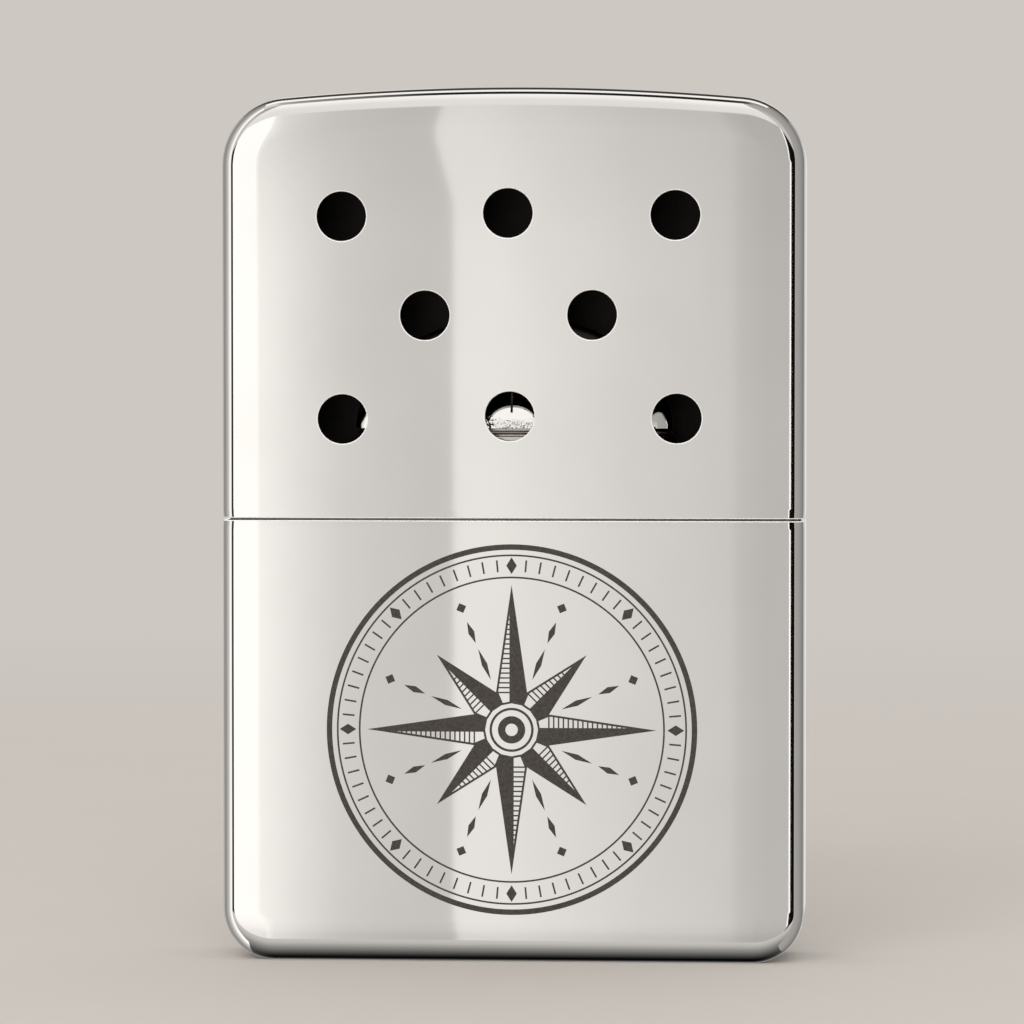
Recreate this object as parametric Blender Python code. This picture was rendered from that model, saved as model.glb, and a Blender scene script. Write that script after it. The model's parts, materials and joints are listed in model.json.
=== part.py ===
"""A pocket catalytic hand warmer that stands on its base, with its vented front towards -Y.

The tank is packed with cotton, and a guide collar stands in its mouth. A deck closes the collar and
carries the filler neck. The burner pushes over the neck, and the cap slides over the collar.
The origin is at the middle of the base. All sizes are in metres.
"""

import math
from collections import namedtuple

import bmesh
import bpy
from mathutils import Vector

MM = 0.001

Plan = namedtuple("Plan", "half_length half_depth corner")
Finish = namedtuple("Finish", "colour roughness metallic")

# Shared clearances
FIT_GAP = 0.3 * MM  # between two pieces that seat on each other
OVERRUN = 1.0 * MM  # how far a cutter passes the face that it cuts
LEAST_CORNER = 0.3 * MM  # corner radius that an inner plan never goes below

# Case, the cap and the tank together
CASE_WIDTH = 66.0 * MM
CASE_DEPTH = 14.0 * MM
CASE_HEIGHT = 99.0 * MM
SHELL_WALL = 0.5 * MM
EDGE_ROLL = 1.4 * MM  # quarter round between a face and the sides

# Tank
TANK_HEIGHT = 49.8 * MM
TANK_CORNER = 5.9 * MM
BASE_ROLL = 2.5 * MM  # height of the softer roll between a face and the base

# Cap
CAP_CORNER = 7.6 * MM
CROWN_RADIUS = 290.0 * MM
VENT_RADIUS = 2.8 * MM
VENT_BEVEL = 0.25 * MM
VENT_TOP_MARGIN = 14.6 * MM  # from the top of the cap to the first row's centres
VENT_LIP_MARGIN = 11.3 * MM  # from the cap's lip to the last row's centres
VENT_SIDE_MARGIN = 14.0 * MM  # from the side of the cap to the outer vents' centres
VENT_ROWS = (3, 2, 3)

# Guide collar
COLLAR_WALL = 0.5 * MM
COLLAR_RISE = 8.2 * MM  # how far it stands out of the tank
COLLAR_ROOT = 8.0 * MM  # how far it reaches down into the tank
COLLAR_LEAD = 0.2 * MM  # chamfer that leads the cap on
DIMPLE_RADIUS = 0.9 * MM
DIMPLE_TIP_RADIUS = 0.4 * MM
DIMPLE_HEIGHT = 0.2 * MM
DIMPLE_SPREAD_SHARE = 0.62  # of the collar's half length, from the middle to a dimple

# Deck
DECK_DROP = 1.0 * MM  # from the collar's rim down to the deck
DECK_WALL = 0.5 * MM
DECK_RIM = 2.0 * MM

# Burner's plan, worked inwards from the collar
BURNER_WIDTH = 36.0 * MM
BURNER_MARGIN = 0.5 * MM  # between the collar and the burner's base
BASE_LIP = 0.4 * MM  # how far the base stands out around the cover
NECK_END_SETBACK = 3.0 * MM  # from the cover's end in to the neck's

# Filler neck
NECK_RISE = 4.0 * MM
NECK_WALL = 0.4 * MM
NECK_TAIL = 0.9 * MM  # below its flange
NECK_LEAD = 0.15 * MM
FLANGE_WIDTH = 1.2 * MM
FLANGE_THICKNESS = 0.4 * MM

# Strainer and filling
PLATE_LAND = 0.5 * MM  # least width between a hole and the edge of the strainer or the gauze
STRAINER_THICKNESS = 0.3 * MM
STRAINER_HOLE_RADIUS = 0.8 * MM
STRAINER_PITCH = 2.1 * MM
FELT_THICKNESS = 3.6 * MM
PAD_ROUND = 0.8 * MM  # rounding of the felt's and the cotton's edges
WAD_COUNT = 5

# Burner's base, socket and springs
BASE_HEIGHT = 1.95 * MM
BASE_WALL = 0.4 * MM
BASE_EDGE = 0.3 * MM
SOCKET_WALL = 0.4 * MM
SOCKET_OVER = 0.4 * MM  # how far the socket stands above the neck
SPRING_ROOM = 1.4 * MM  # between the neck's end and the socket's
SPRING_THICKNESS = 0.25 * MM
SPRING_WIDTH = 2.4 * MM
SPRING_INSET = 0.4 * MM  # from the socket's lower edge and the neck's rim to the spring

# Burner's rim and cover
RIM_HEIGHT = 0.45 * MM
RIM_WIDTH = 0.7 * MM
COVER_RISE = 12.9 * MM
COVER_WALL = 0.4 * MM
COVER_ROLL = 3.6 * MM
WINDOW_COUNT = 5
WINDOW_BAR = 1.4 * MM  # between two windows
WINDOW_END_MARGIN = 5.7 * MM
WINDOW_DEPTH_SHARE = 0.4  # of the cover's depth
WINDOW_CORNER = 0.8 * MM
WINDOW_FLOOR_SHARE = 0.5  # of the cover's rise, where the window cutters start
SLIT_WIDTH = 0.3 * MM
SLIT_HEIGHT = 2.1 * MM
SLIT_LIP_MARGIN = 1.7 * MM  # from the cover's lip to the slit

# Catalyst and its gauzes
GAUZE_THICKNESS = 0.3 * MM
GAUZE_HOLE_RADIUS = 0.75 * MM
GAUZE_PITCH = 2.8 * MM

# Steps in the round shapes
CORNER_STEPS = 7
PLAN_STEPS = 5
ROLL_STEPS = 4
CROWN_STEPS = 12
ARCH_STEPS = 24
VENT_STEPS = 24
HOLE_STEPS = 8
WINDOW_STEPS = 2
SPRING_STEPS = 8
DIMPLE_STEPS = 10
SMOOTH_ANGLE = math.radians(30)

POLISHED = Finish((0.74, 0.74, 0.74), 0.12, 1.0)
DRAWN_STEEL = Finish((0.62, 0.62, 0.61), 0.28, 1.0)
BURNER_PLATE = Finish((0.66, 0.64, 0.61), 0.18, 1.0)
HEATED_STEEL = Finish((0.36, 0.31, 0.26), 0.38, 1.0)
GAUZE_STEEL = Finish((0.42, 0.41, 0.40), 0.4, 1.0)
GLASS_FIBRE = Finish((0.30, 0.29, 0.28), 0.95, 0.0)
FELT = Finish((0.66, 0.63, 0.57), 0.95, 0.0)
COTTON = Finish((0.86, 0.85, 0.82), 1.0, 0.0)


def grown(plan, amount):
    """The same plan, larger by an amount all round, with corners that never turn inside out."""
    corner = max(plan.corner + amount, LEAST_CORNER)
    return Plan(plan.half_length + amount, plan.half_depth + amount, corner)


# Levels above the base
CAP_LIP = TANK_HEIGHT + FIT_GAP
COLLAR_TOP = TANK_HEIGHT + COLLAR_RISE
DECK_TOP = COLLAR_TOP - DECK_DROP
FLANGE_TOP = DECK_TOP - DECK_WALL - FIT_GAP
NECK_BOTTOM = FLANGE_TOP - FLANGE_THICKNESS - NECK_TAIL
FELT_TOP = min(NECK_BOTTOM, DECK_TOP - DECK_RIM) - FIT_GAP
FELT_BOTTOM = FELT_TOP - FELT_THICKNESS

# Levels above the deck, for the burner's pieces
BASE_TOP = FIT_GAP + BASE_HEIGHT
RIM_BOTTOM = BASE_TOP + FIT_GAP
COVER_LIP = RIM_BOTTOM + RIM_HEIGHT + FIT_GAP
SOCKET_BOTTOM = FIT_GAP + FIT_GAP
SOCKET_TOP = NECK_RISE + SOCKET_OVER
GAUZE_BOTTOM = SOCKET_TOP + FIT_GAP
MAT_BOTTOM = GAUZE_BOTTOM + GAUZE_THICKNESS + FIT_GAP

# Plans, from the case inwards
TANK_BORE = Plan(CASE_WIDTH / 2 - SHELL_WALL, CASE_DEPTH / 2 - SHELL_WALL, EDGE_ROLL - SHELL_WALL)
COLLAR = grown(TANK_BORE, -FIT_GAP)
COLLAR_BORE = grown(COLLAR, -COLLAR_WALL)
DECK = grown(COLLAR_BORE, -FIT_GAP)
COVER_HALF_DEPTH = COLLAR_BORE.half_depth - BURNER_MARGIN - BASE_LIP
COVER = Plan(BURNER_WIDTH / 2, COVER_HALF_DEPTH, min(COVER_ROLL, COVER_HALF_DEPTH))
BURNER_BASE = grown(COVER, BASE_LIP)
NECK_HALF_DEPTH = COVER_HALF_DEPTH - RIM_WIDTH - FIT_GAP - SOCKET_WALL - FIT_GAP
NECK = Plan(COVER.half_length - NECK_END_SETBACK, NECK_HALF_DEPTH, NECK_HALF_DEPTH)
SOCKET_BORE = Plan(NECK.half_length + SPRING_ROOM, NECK.half_depth + FIT_GAP, NECK.corner + FIT_GAP)
SOCKET = grown(SOCKET_BORE, SOCKET_WALL)


def end_outline(half_width, height, corner, crown=None, lip=0):
    """The front outline of one shell, from its right lip over its closed end to its left lip.

    Each point is (across, along, normal across, normal along), with along measured from the lips
    to the closed end. The closed end has the crown's radius, or is flat without one.
    """
    reach = half_width - corner
    lean = math.asin(reach / (crown - corner)) if crown else 0
    centre = height - crown + (crown - corner) * math.cos(lean) if crown else height - corner
    right = []
    for step in range(CORNER_STEPS + 1):
        turn = (math.pi / 2 - lean) * step / CORNER_STEPS
        across, along = math.cos(turn), math.sin(turn)
        right.append((reach + corner * across, centre + corner * along, across, along))
    end = []
    for step in range(1, CROWN_STEPS if crown else 1):
        turn = math.pi / 2 - lean + 2 * lean * step / CROWN_STEPS
        across, along = math.cos(turn), math.sin(turn)
        end.append((crown * across, height - crown + crown * along, across, along))
    left = [(-across, along, -out, up) for across, along, out, up in reversed(right)]
    return [(half_width, lip, 1, 0), *right, *end, *left, (-half_width, lip, -1, 0)]


def arch_outline(half_span, rise, start=0, lip=None):
    """The front outline of a half-ellipse, cut off level at a start or run down straight to a lip."""
    first = math.asin(start / rise)
    points = []
    for step in range(ARCH_STEPS + 1):
        turn = first + (math.pi - 2 * first) * step / ARCH_STEPS
        across, along = half_span * math.cos(turn), rise * math.sin(turn)
        normal = Vector((math.cos(turn) / half_span, math.sin(turn) / rise)).normalized()
        points.append((across, along, normal.x, normal.y))
    points[0] = (points[0][0], start, 1, 0)
    points[-1] = (points[-1][0], start, -1, 0)
    if lip is None:
        return points
    return [(half_span, lip, 1, 0), *points, (-half_span, lip, -1, 0)]


def arch_half_span(half_span, rise, height):
    """Half the width of a half-ellipse at a height."""
    return half_span * math.sqrt(1 - (height / rise) ** 2)


def pillow(outline, half_depth, roll, end_roll, up=1):
    """Rings of an outline from the front face to the back, drawn in to both faces by a roll.

    The roll is a quarter round along the sides, and end_roll high where the outline faces along.
    An up of -1 turns the closed end downwards.
    """
    stations = []
    for step in range(ROLL_STEPS + 1):
        turn = math.pi / 2 * step / ROLL_STEPS
        stations.append((1 - math.sin(turn), half_depth - roll * (1 - math.cos(turn))))
    stations = [(draw, -depth) for draw, depth in stations] + stations[::-1]
    rings = []
    for draw, depth in stations:
        ring = []
        for across, along, out, rise in outline:
            ring.append((across - out * roll * draw, depth, up * (along - rise * end_roll * draw)))
        rings.append(ring)
    return rings


def plan_ring(plan, level, steps=PLAN_STEPS):
    """The corners of a rounded rectangle at a level, once round."""
    ring = []
    for quarter in range(4):
        side_x = 1 if quarter in (0, 3) else -1
        side_y = 1 if quarter in (0, 1) else -1
        for step in range(steps + 1):
            turn = math.pi / 2 * (quarter + step / steps)
            ring.append(
                (
                    side_x * (plan.half_length - plan.corner) + plan.corner * math.cos(turn),
                    side_y * (plan.half_depth - plan.corner) + plan.corner * math.sin(turn),
                    level,
                )
            )
    return ring


def stack(plan, profile):
    """Rings of a plan, one for each (growth, level) of a profile."""
    return [plan_ring(grown(plan, growth), level) for growth, level in profile]


def raised(rings, level):
    """Rings moved up by a level."""
    return [[(x, y, z + level) for x, y, z in ring] for ring in rings]


def lowered(rings):
    """Rings at levels above the base, brought to the tank's carrier."""
    return raised(rings, -TANK_HEIGHT)


def disc_rings(centre, profile, steps):
    """Rings around a point of the front face, one for each (radius, depth) of a profile."""
    rings = []
    for radius, depth in profile:
        ring = []
        for step in range(steps):
            turn = 2 * math.pi * step / steps
            across, along = centre
            ring.append((across + radius * math.cos(turn), depth, along + radius * math.sin(turn)))
        rings.append(ring)
    return rings


def skin(name, parts, closed=False):
    """A mesh of faces between the rings of each part, its ends filled, or joined if closed."""
    shape = bmesh.new()
    for rings in parts:
        loops = [[shape.verts.new(point) for point in ring] for ring in rings]
        pairs = list(zip(loops, loops[1:]))
        if closed:
            pairs.append((loops[-1], loops[0]))
        else:
            shape.faces.new(loops[0])
            shape.faces.new(loops[-1])
        for lower, upper in pairs:
            for index, point in enumerate(lower):
                after = (index + 1) % len(lower)
                shape.faces.new((point, lower[after], upper[after], upper[index]))
    bmesh.ops.recalc_face_normals(shape, faces=shape.faces)
    mesh = bpy.data.meshes.new(name)
    shape.to_mesh(mesh)
    shape.free()
    return mesh


def material_for(name, finish):
    """A Principled material with a finish's colour, roughness and metallic value."""
    material = bpy.data.materials.new(name)
    material.use_nodes = True
    shader = material.node_tree.nodes["Principled BSDF"]
    shader.inputs["Base Color"].default_value = (*finish.colour, 1)
    shader.inputs["Roughness"].default_value = finish.roughness
    shader.inputs["Metallic"].default_value = finish.metallic
    return material


def place(name, mesh, carrier, finish):
    """A sub-part with a mesh and a finish, on the empty that carries it."""
    piece = bpy.data.objects.new(name, mesh)
    bpy.context.collection.objects.link(piece)
    piece.parent = carrier
    piece.data.materials.append(material_for(name + "_finish", finish))
    piece.data.shade_smooth()
    piece.data.set_sharp_from_angle(angle=SMOOTH_ANGLE)
    return piece


def carry(name, level):
    """An empty on the upright middle axis, which carries one body's pieces."""
    empty = bpy.data.objects.new(name, None)
    bpy.context.collection.objects.link(empty)
    empty.location = (0, 0, level)
    return empty


def work(piece, name, mesh, operation="DIFFERENCE"):
    """Cut a helper mesh out of a piece, or join it to the piece with a UNION."""
    helper = bpy.data.objects.new(name, mesh)
    bpy.context.collection.objects.link(helper)
    helper.parent = piece.parent
    helper.hide_render = True
    helper.display_type = "WIRE"
    modifier = piece.modifiers.new(name, "BOOLEAN")
    modifier.operation = operation
    modifier.object = helper
    modifier.solver = "EXACT"


def shell_half(name, carrier, height, corner, end_roll, crown=None, up=1):
    """A drawn shell, open at its lips, with a hollow one wall inside its outer faces."""
    half_width, half_depth = CASE_WIDTH / 2, CASE_DEPTH / 2
    outer = end_outline(half_width, height, corner, crown)
    inner = end_outline(
        half_width - SHELL_WALL,
        height - SHELL_WALL,
        corner - SHELL_WALL,
        crown - SHELL_WALL if crown else None,
        -OVERRUN,
    )
    rings = pillow(outer, half_depth, EDGE_ROLL, end_roll, up)
    hollow = pillow(
        inner, half_depth - SHELL_WALL, EDGE_ROLL - SHELL_WALL, end_roll - SHELL_WALL, up
    )
    shell = place(name, skin(name, [rings]), carrier, POLISHED)
    work(shell, name + "_hollow", skin(name + "_hollow", [hollow]))
    return shell


def vent_centres():
    """The (across, along) centres of the vents, in staggered rows that fill their margins."""
    span = CASE_WIDTH - 2 * VENT_SIDE_MARGIN
    cap_height = CASE_HEIGHT - CAP_LIP
    drop = (cap_height - VENT_TOP_MARGIN - VENT_LIP_MARGIN) / (len(VENT_ROWS) - 1)
    pitch = span / (max(VENT_ROWS) - 1)
    centres = []
    for row, count in enumerate(VENT_ROWS):
        for column in range(count):
            across = (column - (count - 1) / 2) * pitch
            centres.append((across, cap_height - VENT_TOP_MARGIN - row * drop))
    return centres


def make_cap(carrier):
    """The cap, with bevelled vents through its front and a plain back."""
    cap = shell_half("cap_shell", carrier, CASE_HEIGHT - CAP_LIP, CAP_CORNER, EDGE_ROLL, CROWN_RADIUS)
    face = -CASE_DEPTH / 2
    profile = (
        (VENT_RADIUS + VENT_BEVEL + OVERRUN, face - OVERRUN),
        (VENT_RADIUS, face + VENT_BEVEL),
        (VENT_RADIUS, face + SHELL_WALL + OVERRUN),
    )
    vents = [disc_rings(centre, profile, VENT_STEPS) for centre in vent_centres()]
    work(cap, "vent_cutter", skin("vent_cutter", vents))


def make_tank(carrier):
    """The tank's shell, hung from its lips with its closed end down."""
    shell_half("tank_shell", carrier, TANK_HEIGHT, TANK_CORNER, BASE_ROLL, up=-1)


def make_collar(carrier):
    """The sleeve in the tank's mouth, with detent dimples on its front and back."""
    profile = (
        (0, -COLLAR_ROOT),
        (0, COLLAR_RISE - COLLAR_LEAD),
        (-COLLAR_LEAD, COLLAR_RISE),
        (-COLLAR_WALL, COLLAR_RISE),
        (-COLLAR_WALL, -COLLAR_ROOT),
    )
    mesh = skin("guide_collar", [stack(COLLAR, profile)], closed=True)
    collar = place("guide_collar", mesh, carrier, DRAWN_STEEL)
    dimples = []
    for side in (-1, 1):
        face = COLLAR.half_depth
        shape = (
            (DIMPLE_RADIUS, side * (face - COLLAR_WALL / 2)),
            (DIMPLE_RADIUS, side * face),
            (DIMPLE_TIP_RADIUS, side * (face + DIMPLE_HEIGHT)),
        )
        for across in (-1, 1):
            centre = (across * DIMPLE_SPREAD_SHARE * COLLAR.half_length, COLLAR_RISE / 2)
            dimples.append(disc_rings(centre, shape, DIMPLE_STEPS))
    work(collar, "dimple_adder", skin("dimple_adder", dimples), "UNION")


def make_deck(carrier):
    """The pan that closes the collar, its rim turned down and its middle open for the neck."""
    cup = (
        (-DECK_WALL, DECK_TOP - DECK_WALL),
        (-DECK_WALL, DECK_TOP - DECK_RIM),
        (0, DECK_TOP - DECK_RIM),
        (0, DECK_TOP),
    )
    rings = lowered(stack(DECK, cup))
    deck = place("tank_deck", skin("tank_deck", [rings]), carrier, DRAWN_STEEL)
    hole = lowered(stack(grown(NECK, FIT_GAP), ((0, DECK_TOP - DECK_RIM), (0, DECK_TOP + OVERRUN))))
    work(deck, "neck_hole", skin("neck_hole", [hole]))


def make_neck(carrier):
    """The oval neck through the deck, with a flange under it and a lead at its rim."""
    profile = (
        (0, NECK_BOTTOM),
        (0, FLANGE_TOP - FLANGE_THICKNESS),
        (FLANGE_WIDTH, FLANGE_TOP - FLANGE_THICKNESS),
        (FLANGE_WIDTH, FLANGE_TOP),
        (0, FLANGE_TOP),
        (0, DECK_TOP + NECK_RISE - NECK_LEAD),
        (-NECK_LEAD, DECK_TOP + NECK_RISE),
        (-NECK_WALL, DECK_TOP + NECK_RISE),
        (-NECK_WALL, NECK_BOTTOM),
    )
    mesh = skin("filler_neck", [lowered(stack(NECK, profile))], closed=True)
    place("filler_neck", mesh, carrier, DRAWN_STEEL)


def spread(reach, pitch):
    """Evenly spread places from -reach to reach, at least a pitch apart, or the middle alone."""
    steps = max(math.floor(2 * reach / pitch), 0)
    return [reach * (2 * step / steps - 1) for step in range(steps + 1)] if steps else [0]


def make_plate(name, carrier, plan, bottom, thickness, hole_radius, pitch, finish):
    """A thin plate with a grid of round holes that keeps a land inside its edge."""
    rings = stack(plan, ((0, bottom), (0, bottom + thickness)))
    plate = place(name, skin(name, [rings]), carrier, finish)
    margin = hole_radius + PLATE_LAND
    rows = spread(plan.half_depth - margin, pitch)
    beside = max(rows[-1] - plan.half_depth + plan.corner, 0)
    rounding = math.sqrt(max((plan.corner - margin) ** 2 - beside**2, 0))
    columns = spread(plan.half_length - plan.corner + rounding, pitch)
    hole = Plan(hole_radius, hole_radius, hole_radius)
    cutters = []
    for shift_x in columns:
        for shift_y in rows:
            cutter = []
            for level in (bottom - OVERRUN, bottom + thickness + OVERRUN):
                ring = plan_ring(hole, level, HOLE_STEPS // 4)
                cutter.append([(x + shift_x, y + shift_y, z) for x, y, z in round_once(ring)])
            cutters.append(cutter)
    work(plate, name + "_holes", skin(name + "_holes", cutters))


def round_once(ring):
    """A full circle's ring without the points that its quarters share."""
    quarter = len(ring) // 4
    return [point for index, point in enumerate(ring) if (index + 1) % quarter]


def make_strainer(carrier):
    """The perforated plate at the foot of the neck."""
    plan = grown(NECK, -NECK_WALL - FIT_GAP)
    make_plate(
        "neck_strainer",
        carrier,
        plan,
        NECK_BOTTOM - TANK_HEIGHT,
        STRAINER_THICKNESS,
        STRAINER_HOLE_RADIUS,
        STRAINER_PITCH,
        DRAWN_STEEL,
    )


def narrowing(level, corner, draw):
    """How far the tank's bore has narrowed at a level, where a corner of that height draws it in."""
    below = min(max(corner - level, 0) / (corner - SHELL_WALL), 1)
    return (draw - SHELL_WALL) * (1 - math.sqrt(1 - below**2))


def make_pad(name, carrier, bottom, top, finish):
    """A soft pad that fills the bore between two levels above the base, its edges rounded."""
    in_collar = top > TANK_HEIGHT - COLLAR_ROOT - FIT_GAP
    inside = grown(COLLAR_BORE if in_collar else TANK_BORE, -FIT_GAP)
    levels = [(PAD_ROUND, bottom), (0, bottom + PAD_ROUND)]
    if bottom < BASE_ROLL:
        for step in range(1, PLAN_STEPS):
            levels.append((0, bottom + PAD_ROUND + (TANK_CORNER - bottom) * step / PLAN_STEPS))
    levels += [(0, top - PAD_ROUND), (PAD_ROUND, top)]
    rings = []
    for inset, level in levels:
        half_length = inside.half_length - inset - narrowing(level, TANK_CORNER, TANK_CORNER)
        half_depth = inside.half_depth - inset - narrowing(level, BASE_ROLL, EDGE_ROLL)
        rings.append(plan_ring(Plan(half_length, half_depth, PAD_ROUND), level))
    place(name, skin(name, [lowered(rings)]), carrier, finish)


def make_filling(carrier):
    """The felt under the neck, and the cotton wads that fill the tank below it."""
    make_pad("wick_felt", carrier, FELT_BOTTOM, FELT_TOP, FELT)
    floor = SHELL_WALL + FIT_GAP
    pitch = (FELT_BOTTOM - floor) / WAD_COUNT
    for index in range(WAD_COUNT):
        bottom = floor + index * pitch
        make_pad(f"cotton_wad_{index + 1}", carrier, bottom, bottom + pitch - FIT_GAP, COTTON)


def make_burner_base(carrier):
    """The tray that stands on the deck, open in its middle for the socket."""
    cup = (
        (-BASE_WALL, BASE_TOP - BASE_WALL),
        (-BASE_WALL, FIT_GAP),
        (0, FIT_GAP),
        (0, BASE_TOP - BASE_EDGE),
        (-BASE_EDGE, BASE_TOP),
    )
    base = place("burner_base", skin("burner_base", [stack(BURNER_BASE, cup)]), carrier, BURNER_PLATE)
    hole = stack(grown(SOCKET, FIT_GAP), ((0, FIT_GAP), (0, BASE_TOP + OVERRUN)))
    work(base, "socket_hole", skin("socket_hole", [hole]))


def make_socket(carrier):
    """The oval tube that pushes over the neck."""
    profile = (
        (SOCKET_WALL, SOCKET_BOTTOM),
        (SOCKET_WALL, SOCKET_TOP),
        (0, SOCKET_TOP),
        (0, SOCKET_BOTTOM),
    )
    mesh = skin("burner_socket", [stack(SOCKET_BORE, profile)], closed=True)
    place("burner_socket", mesh, carrier, DRAWN_STEEL)


def make_spring(name, carrier, side):
    """A bowed leaf between one end of the neck and the socket."""
    low, high = SOCKET_BOTTOM + SPRING_INSET, NECK_RISE - SPRING_INSET
    sag = SOCKET_BORE.corner - math.sqrt(SOCKET_BORE.corner**2 - (SPRING_WIDTH / 2) ** 2)
    outer_x = SOCKET_BORE.half_length - FIT_GAP - sag
    bow = SPRING_ROOM - 2 * FIT_GAP - SPRING_THICKNESS - sag
    outer = []
    for step in range(SPRING_STEPS + 1):
        share = step / SPRING_STEPS
        outer.append((outer_x - bow * math.sin(math.pi * share), low + (high - low) * share))
    strip = outer + [(x - SPRING_THICKNESS, z) for x, z in reversed(outer)]
    rings = []
    for half_width in (-SPRING_WIDTH / 2, SPRING_WIDTH / 2):
        rings.append([(side * x, half_width, z) for x, z in strip])
    place(name, skin(name, [rings]), carrier, DRAWN_STEEL)


def make_rim(carrier):
    """The bead between the base and the cover."""
    edge = RIM_HEIGHT / 4
    profile = (
        (-edge, RIM_BOTTOM),
        (0, RIM_BOTTOM + edge),
        (0, RIM_BOTTOM + RIM_HEIGHT - edge),
        (-edge, RIM_BOTTOM + RIM_HEIGHT),
        (-RIM_WIDTH, RIM_BOTTOM + RIM_HEIGHT),
        (-RIM_WIDTH, RIM_BOTTOM),
    )
    mesh = skin("burner_rim", [stack(COVER, profile)], closed=True)
    place("burner_rim", mesh, carrier, HEATED_STEEL)


def cover_rings(inset, start=0, lip=None):
    """The arched cover's shape at an inset from its outer faces, above the cover's lip."""
    outline = arch_outline(COVER.half_length - inset, COVER_RISE - inset, start, lip)
    roll = COVER.corner - inset
    return raised(pillow(outline, COVER.half_depth - inset, roll, roll), COVER_LIP)


def cover_windows():
    """The half length, half depth and corner of a window, and the windows' middles across."""
    run = 2 * (COVER.half_length - WINDOW_END_MARGIN)
    length = (run - WINDOW_BAR * (WINDOW_COUNT - 1)) / WINDOW_COUNT
    half_depth = WINDOW_DEPTH_SHARE * COVER.half_depth
    window = Plan(length / 2, half_depth, min(WINDOW_CORNER, half_depth, length / 2))
    middles = [(index - (WINDOW_COUNT - 1) / 2) * (length + WINDOW_BAR) for index in range(WINDOW_COUNT)]
    return window, middles


def make_cover(carrier):
    """The arched cover, with windows along its crown and a slit in its front and back."""
    cover = place("burner_cover", skin("burner_cover", [cover_rings(0)]), carrier, BURNER_PLATE)
    hollow = cover_rings(COVER_WALL, lip=-OVERRUN)
    work(cover, "cover_hollow", skin("cover_hollow", [hollow]))
    floor = COVER_LIP + WINDOW_FLOOR_SHARE * COVER_RISE
    window, middles = cover_windows()
    windows = []
    for shift in middles:
        rings = []
        for level in (floor, COVER_LIP + COVER_RISE + OVERRUN):
            ring = plan_ring(window, level, WINDOW_STEPS)
            rings.append([(x + shift, y, z) for x, y, z in ring])
        windows.append(rings)
    work(cover, "window_cutter", skin("window_cutter", windows))
    slit_bottom = COVER_LIP + SLIT_LIP_MARGIN
    slit = []
    for level in (slit_bottom, slit_bottom + SLIT_HEIGHT):
        reach_x, reach_y = SLIT_WIDTH / 2, COVER.half_depth + OVERRUN
        corners = ((reach_x, reach_y), (-reach_x, reach_y), (-reach_x, -reach_y), (reach_x, -reach_y))
        slit.append([(x, y, level) for x, y in corners])
    work(cover, "slit_cutter", skin("slit_cutter", [slit]))


def make_lower_gauze(carrier):
    """The perforated plate that lies across the cover and carries the catalyst."""
    height = GAUZE_BOTTOM + GAUZE_THICKNESS - COVER_LIP
    inside = grown(COVER, -COVER_WALL)
    half_length = arch_half_span(inside.half_length, COVER_RISE - COVER_WALL, height) - FIT_GAP
    corner = inside.corner - FIT_GAP
    make_plate(
        "lower_gauze",
        carrier,
        Plan(half_length, inside.half_depth - FIT_GAP, corner),
        GAUZE_BOTTOM,
        GAUZE_THICKNESS,
        GAUZE_HOLE_RADIUS,
        GAUZE_PITCH,
        GAUZE_STEEL,
    )


def make_mat(carrier):
    """The arched glass-fibre mat that carries the catalyst."""
    inset = COVER_WALL + FIT_GAP + GAUZE_THICKNESS + FIT_GAP
    rings = cover_rings(inset, MAT_BOTTOM - COVER_LIP)
    place("catalyst_mat", skin("catalyst_mat", [rings]), carrier, GLASS_FIBRE)


def make_upper_gauze(carrier):
    """The arched screen between the mat and the cover's crown."""
    start = MAT_BOTTOM - COVER_LIP
    outlines = []
    for inset in (COVER_WALL + FIT_GAP, COVER_WALL + FIT_GAP + GAUZE_THICKNESS):
        outlines.append(arch_outline(COVER.half_length - inset, COVER_RISE - inset, start))
    outer, inner = outlines
    strip = [(x, z + COVER_LIP) for x, z, *_ in outer + inner[::-1]]
    window, _ = cover_windows()
    rings = [[(x, side * window.half_depth, z) for x, z in strip] for side in (-1, 1)]
    place("upper_gauze", skin("upper_gauze", [rings]), carrier, GAUZE_STEEL)


def main():
    """Clear the scene and make every sub-part on its body's carrier."""
    for leftover in list(bpy.data.objects):
        bpy.data.objects.remove(leftover)
    tank = carry("tank_body", TANK_HEIGHT)
    cap = carry("cap_slide", CAP_LIP)
    burner = carry("burner_slide", DECK_TOP)
    make_tank(tank)
    make_collar(tank)
    make_deck(tank)
    make_neck(tank)
    make_strainer(tank)
    make_filling(tank)
    make_burner_base(burner)
    make_socket(burner)
    make_spring("grip_spring_left", burner, -1)
    make_spring("grip_spring_right", burner, 1)
    make_rim(burner)
    make_lower_gauze(burner)
    make_mat(burner)
    make_upper_gauze(burner)
    make_cover(burner)
    make_cap(cap)


main()
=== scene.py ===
"""Looks of the catalytic hand warmer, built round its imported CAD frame.

Sizes are in millimetres times MM, in the frame of the CAD: X to the right, Y away from the viewer, Z up.
"""

import json
import logging
import math
from dataclasses import dataclass
from enum import Enum
from typing import Callable, Optional, Sequence

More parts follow.
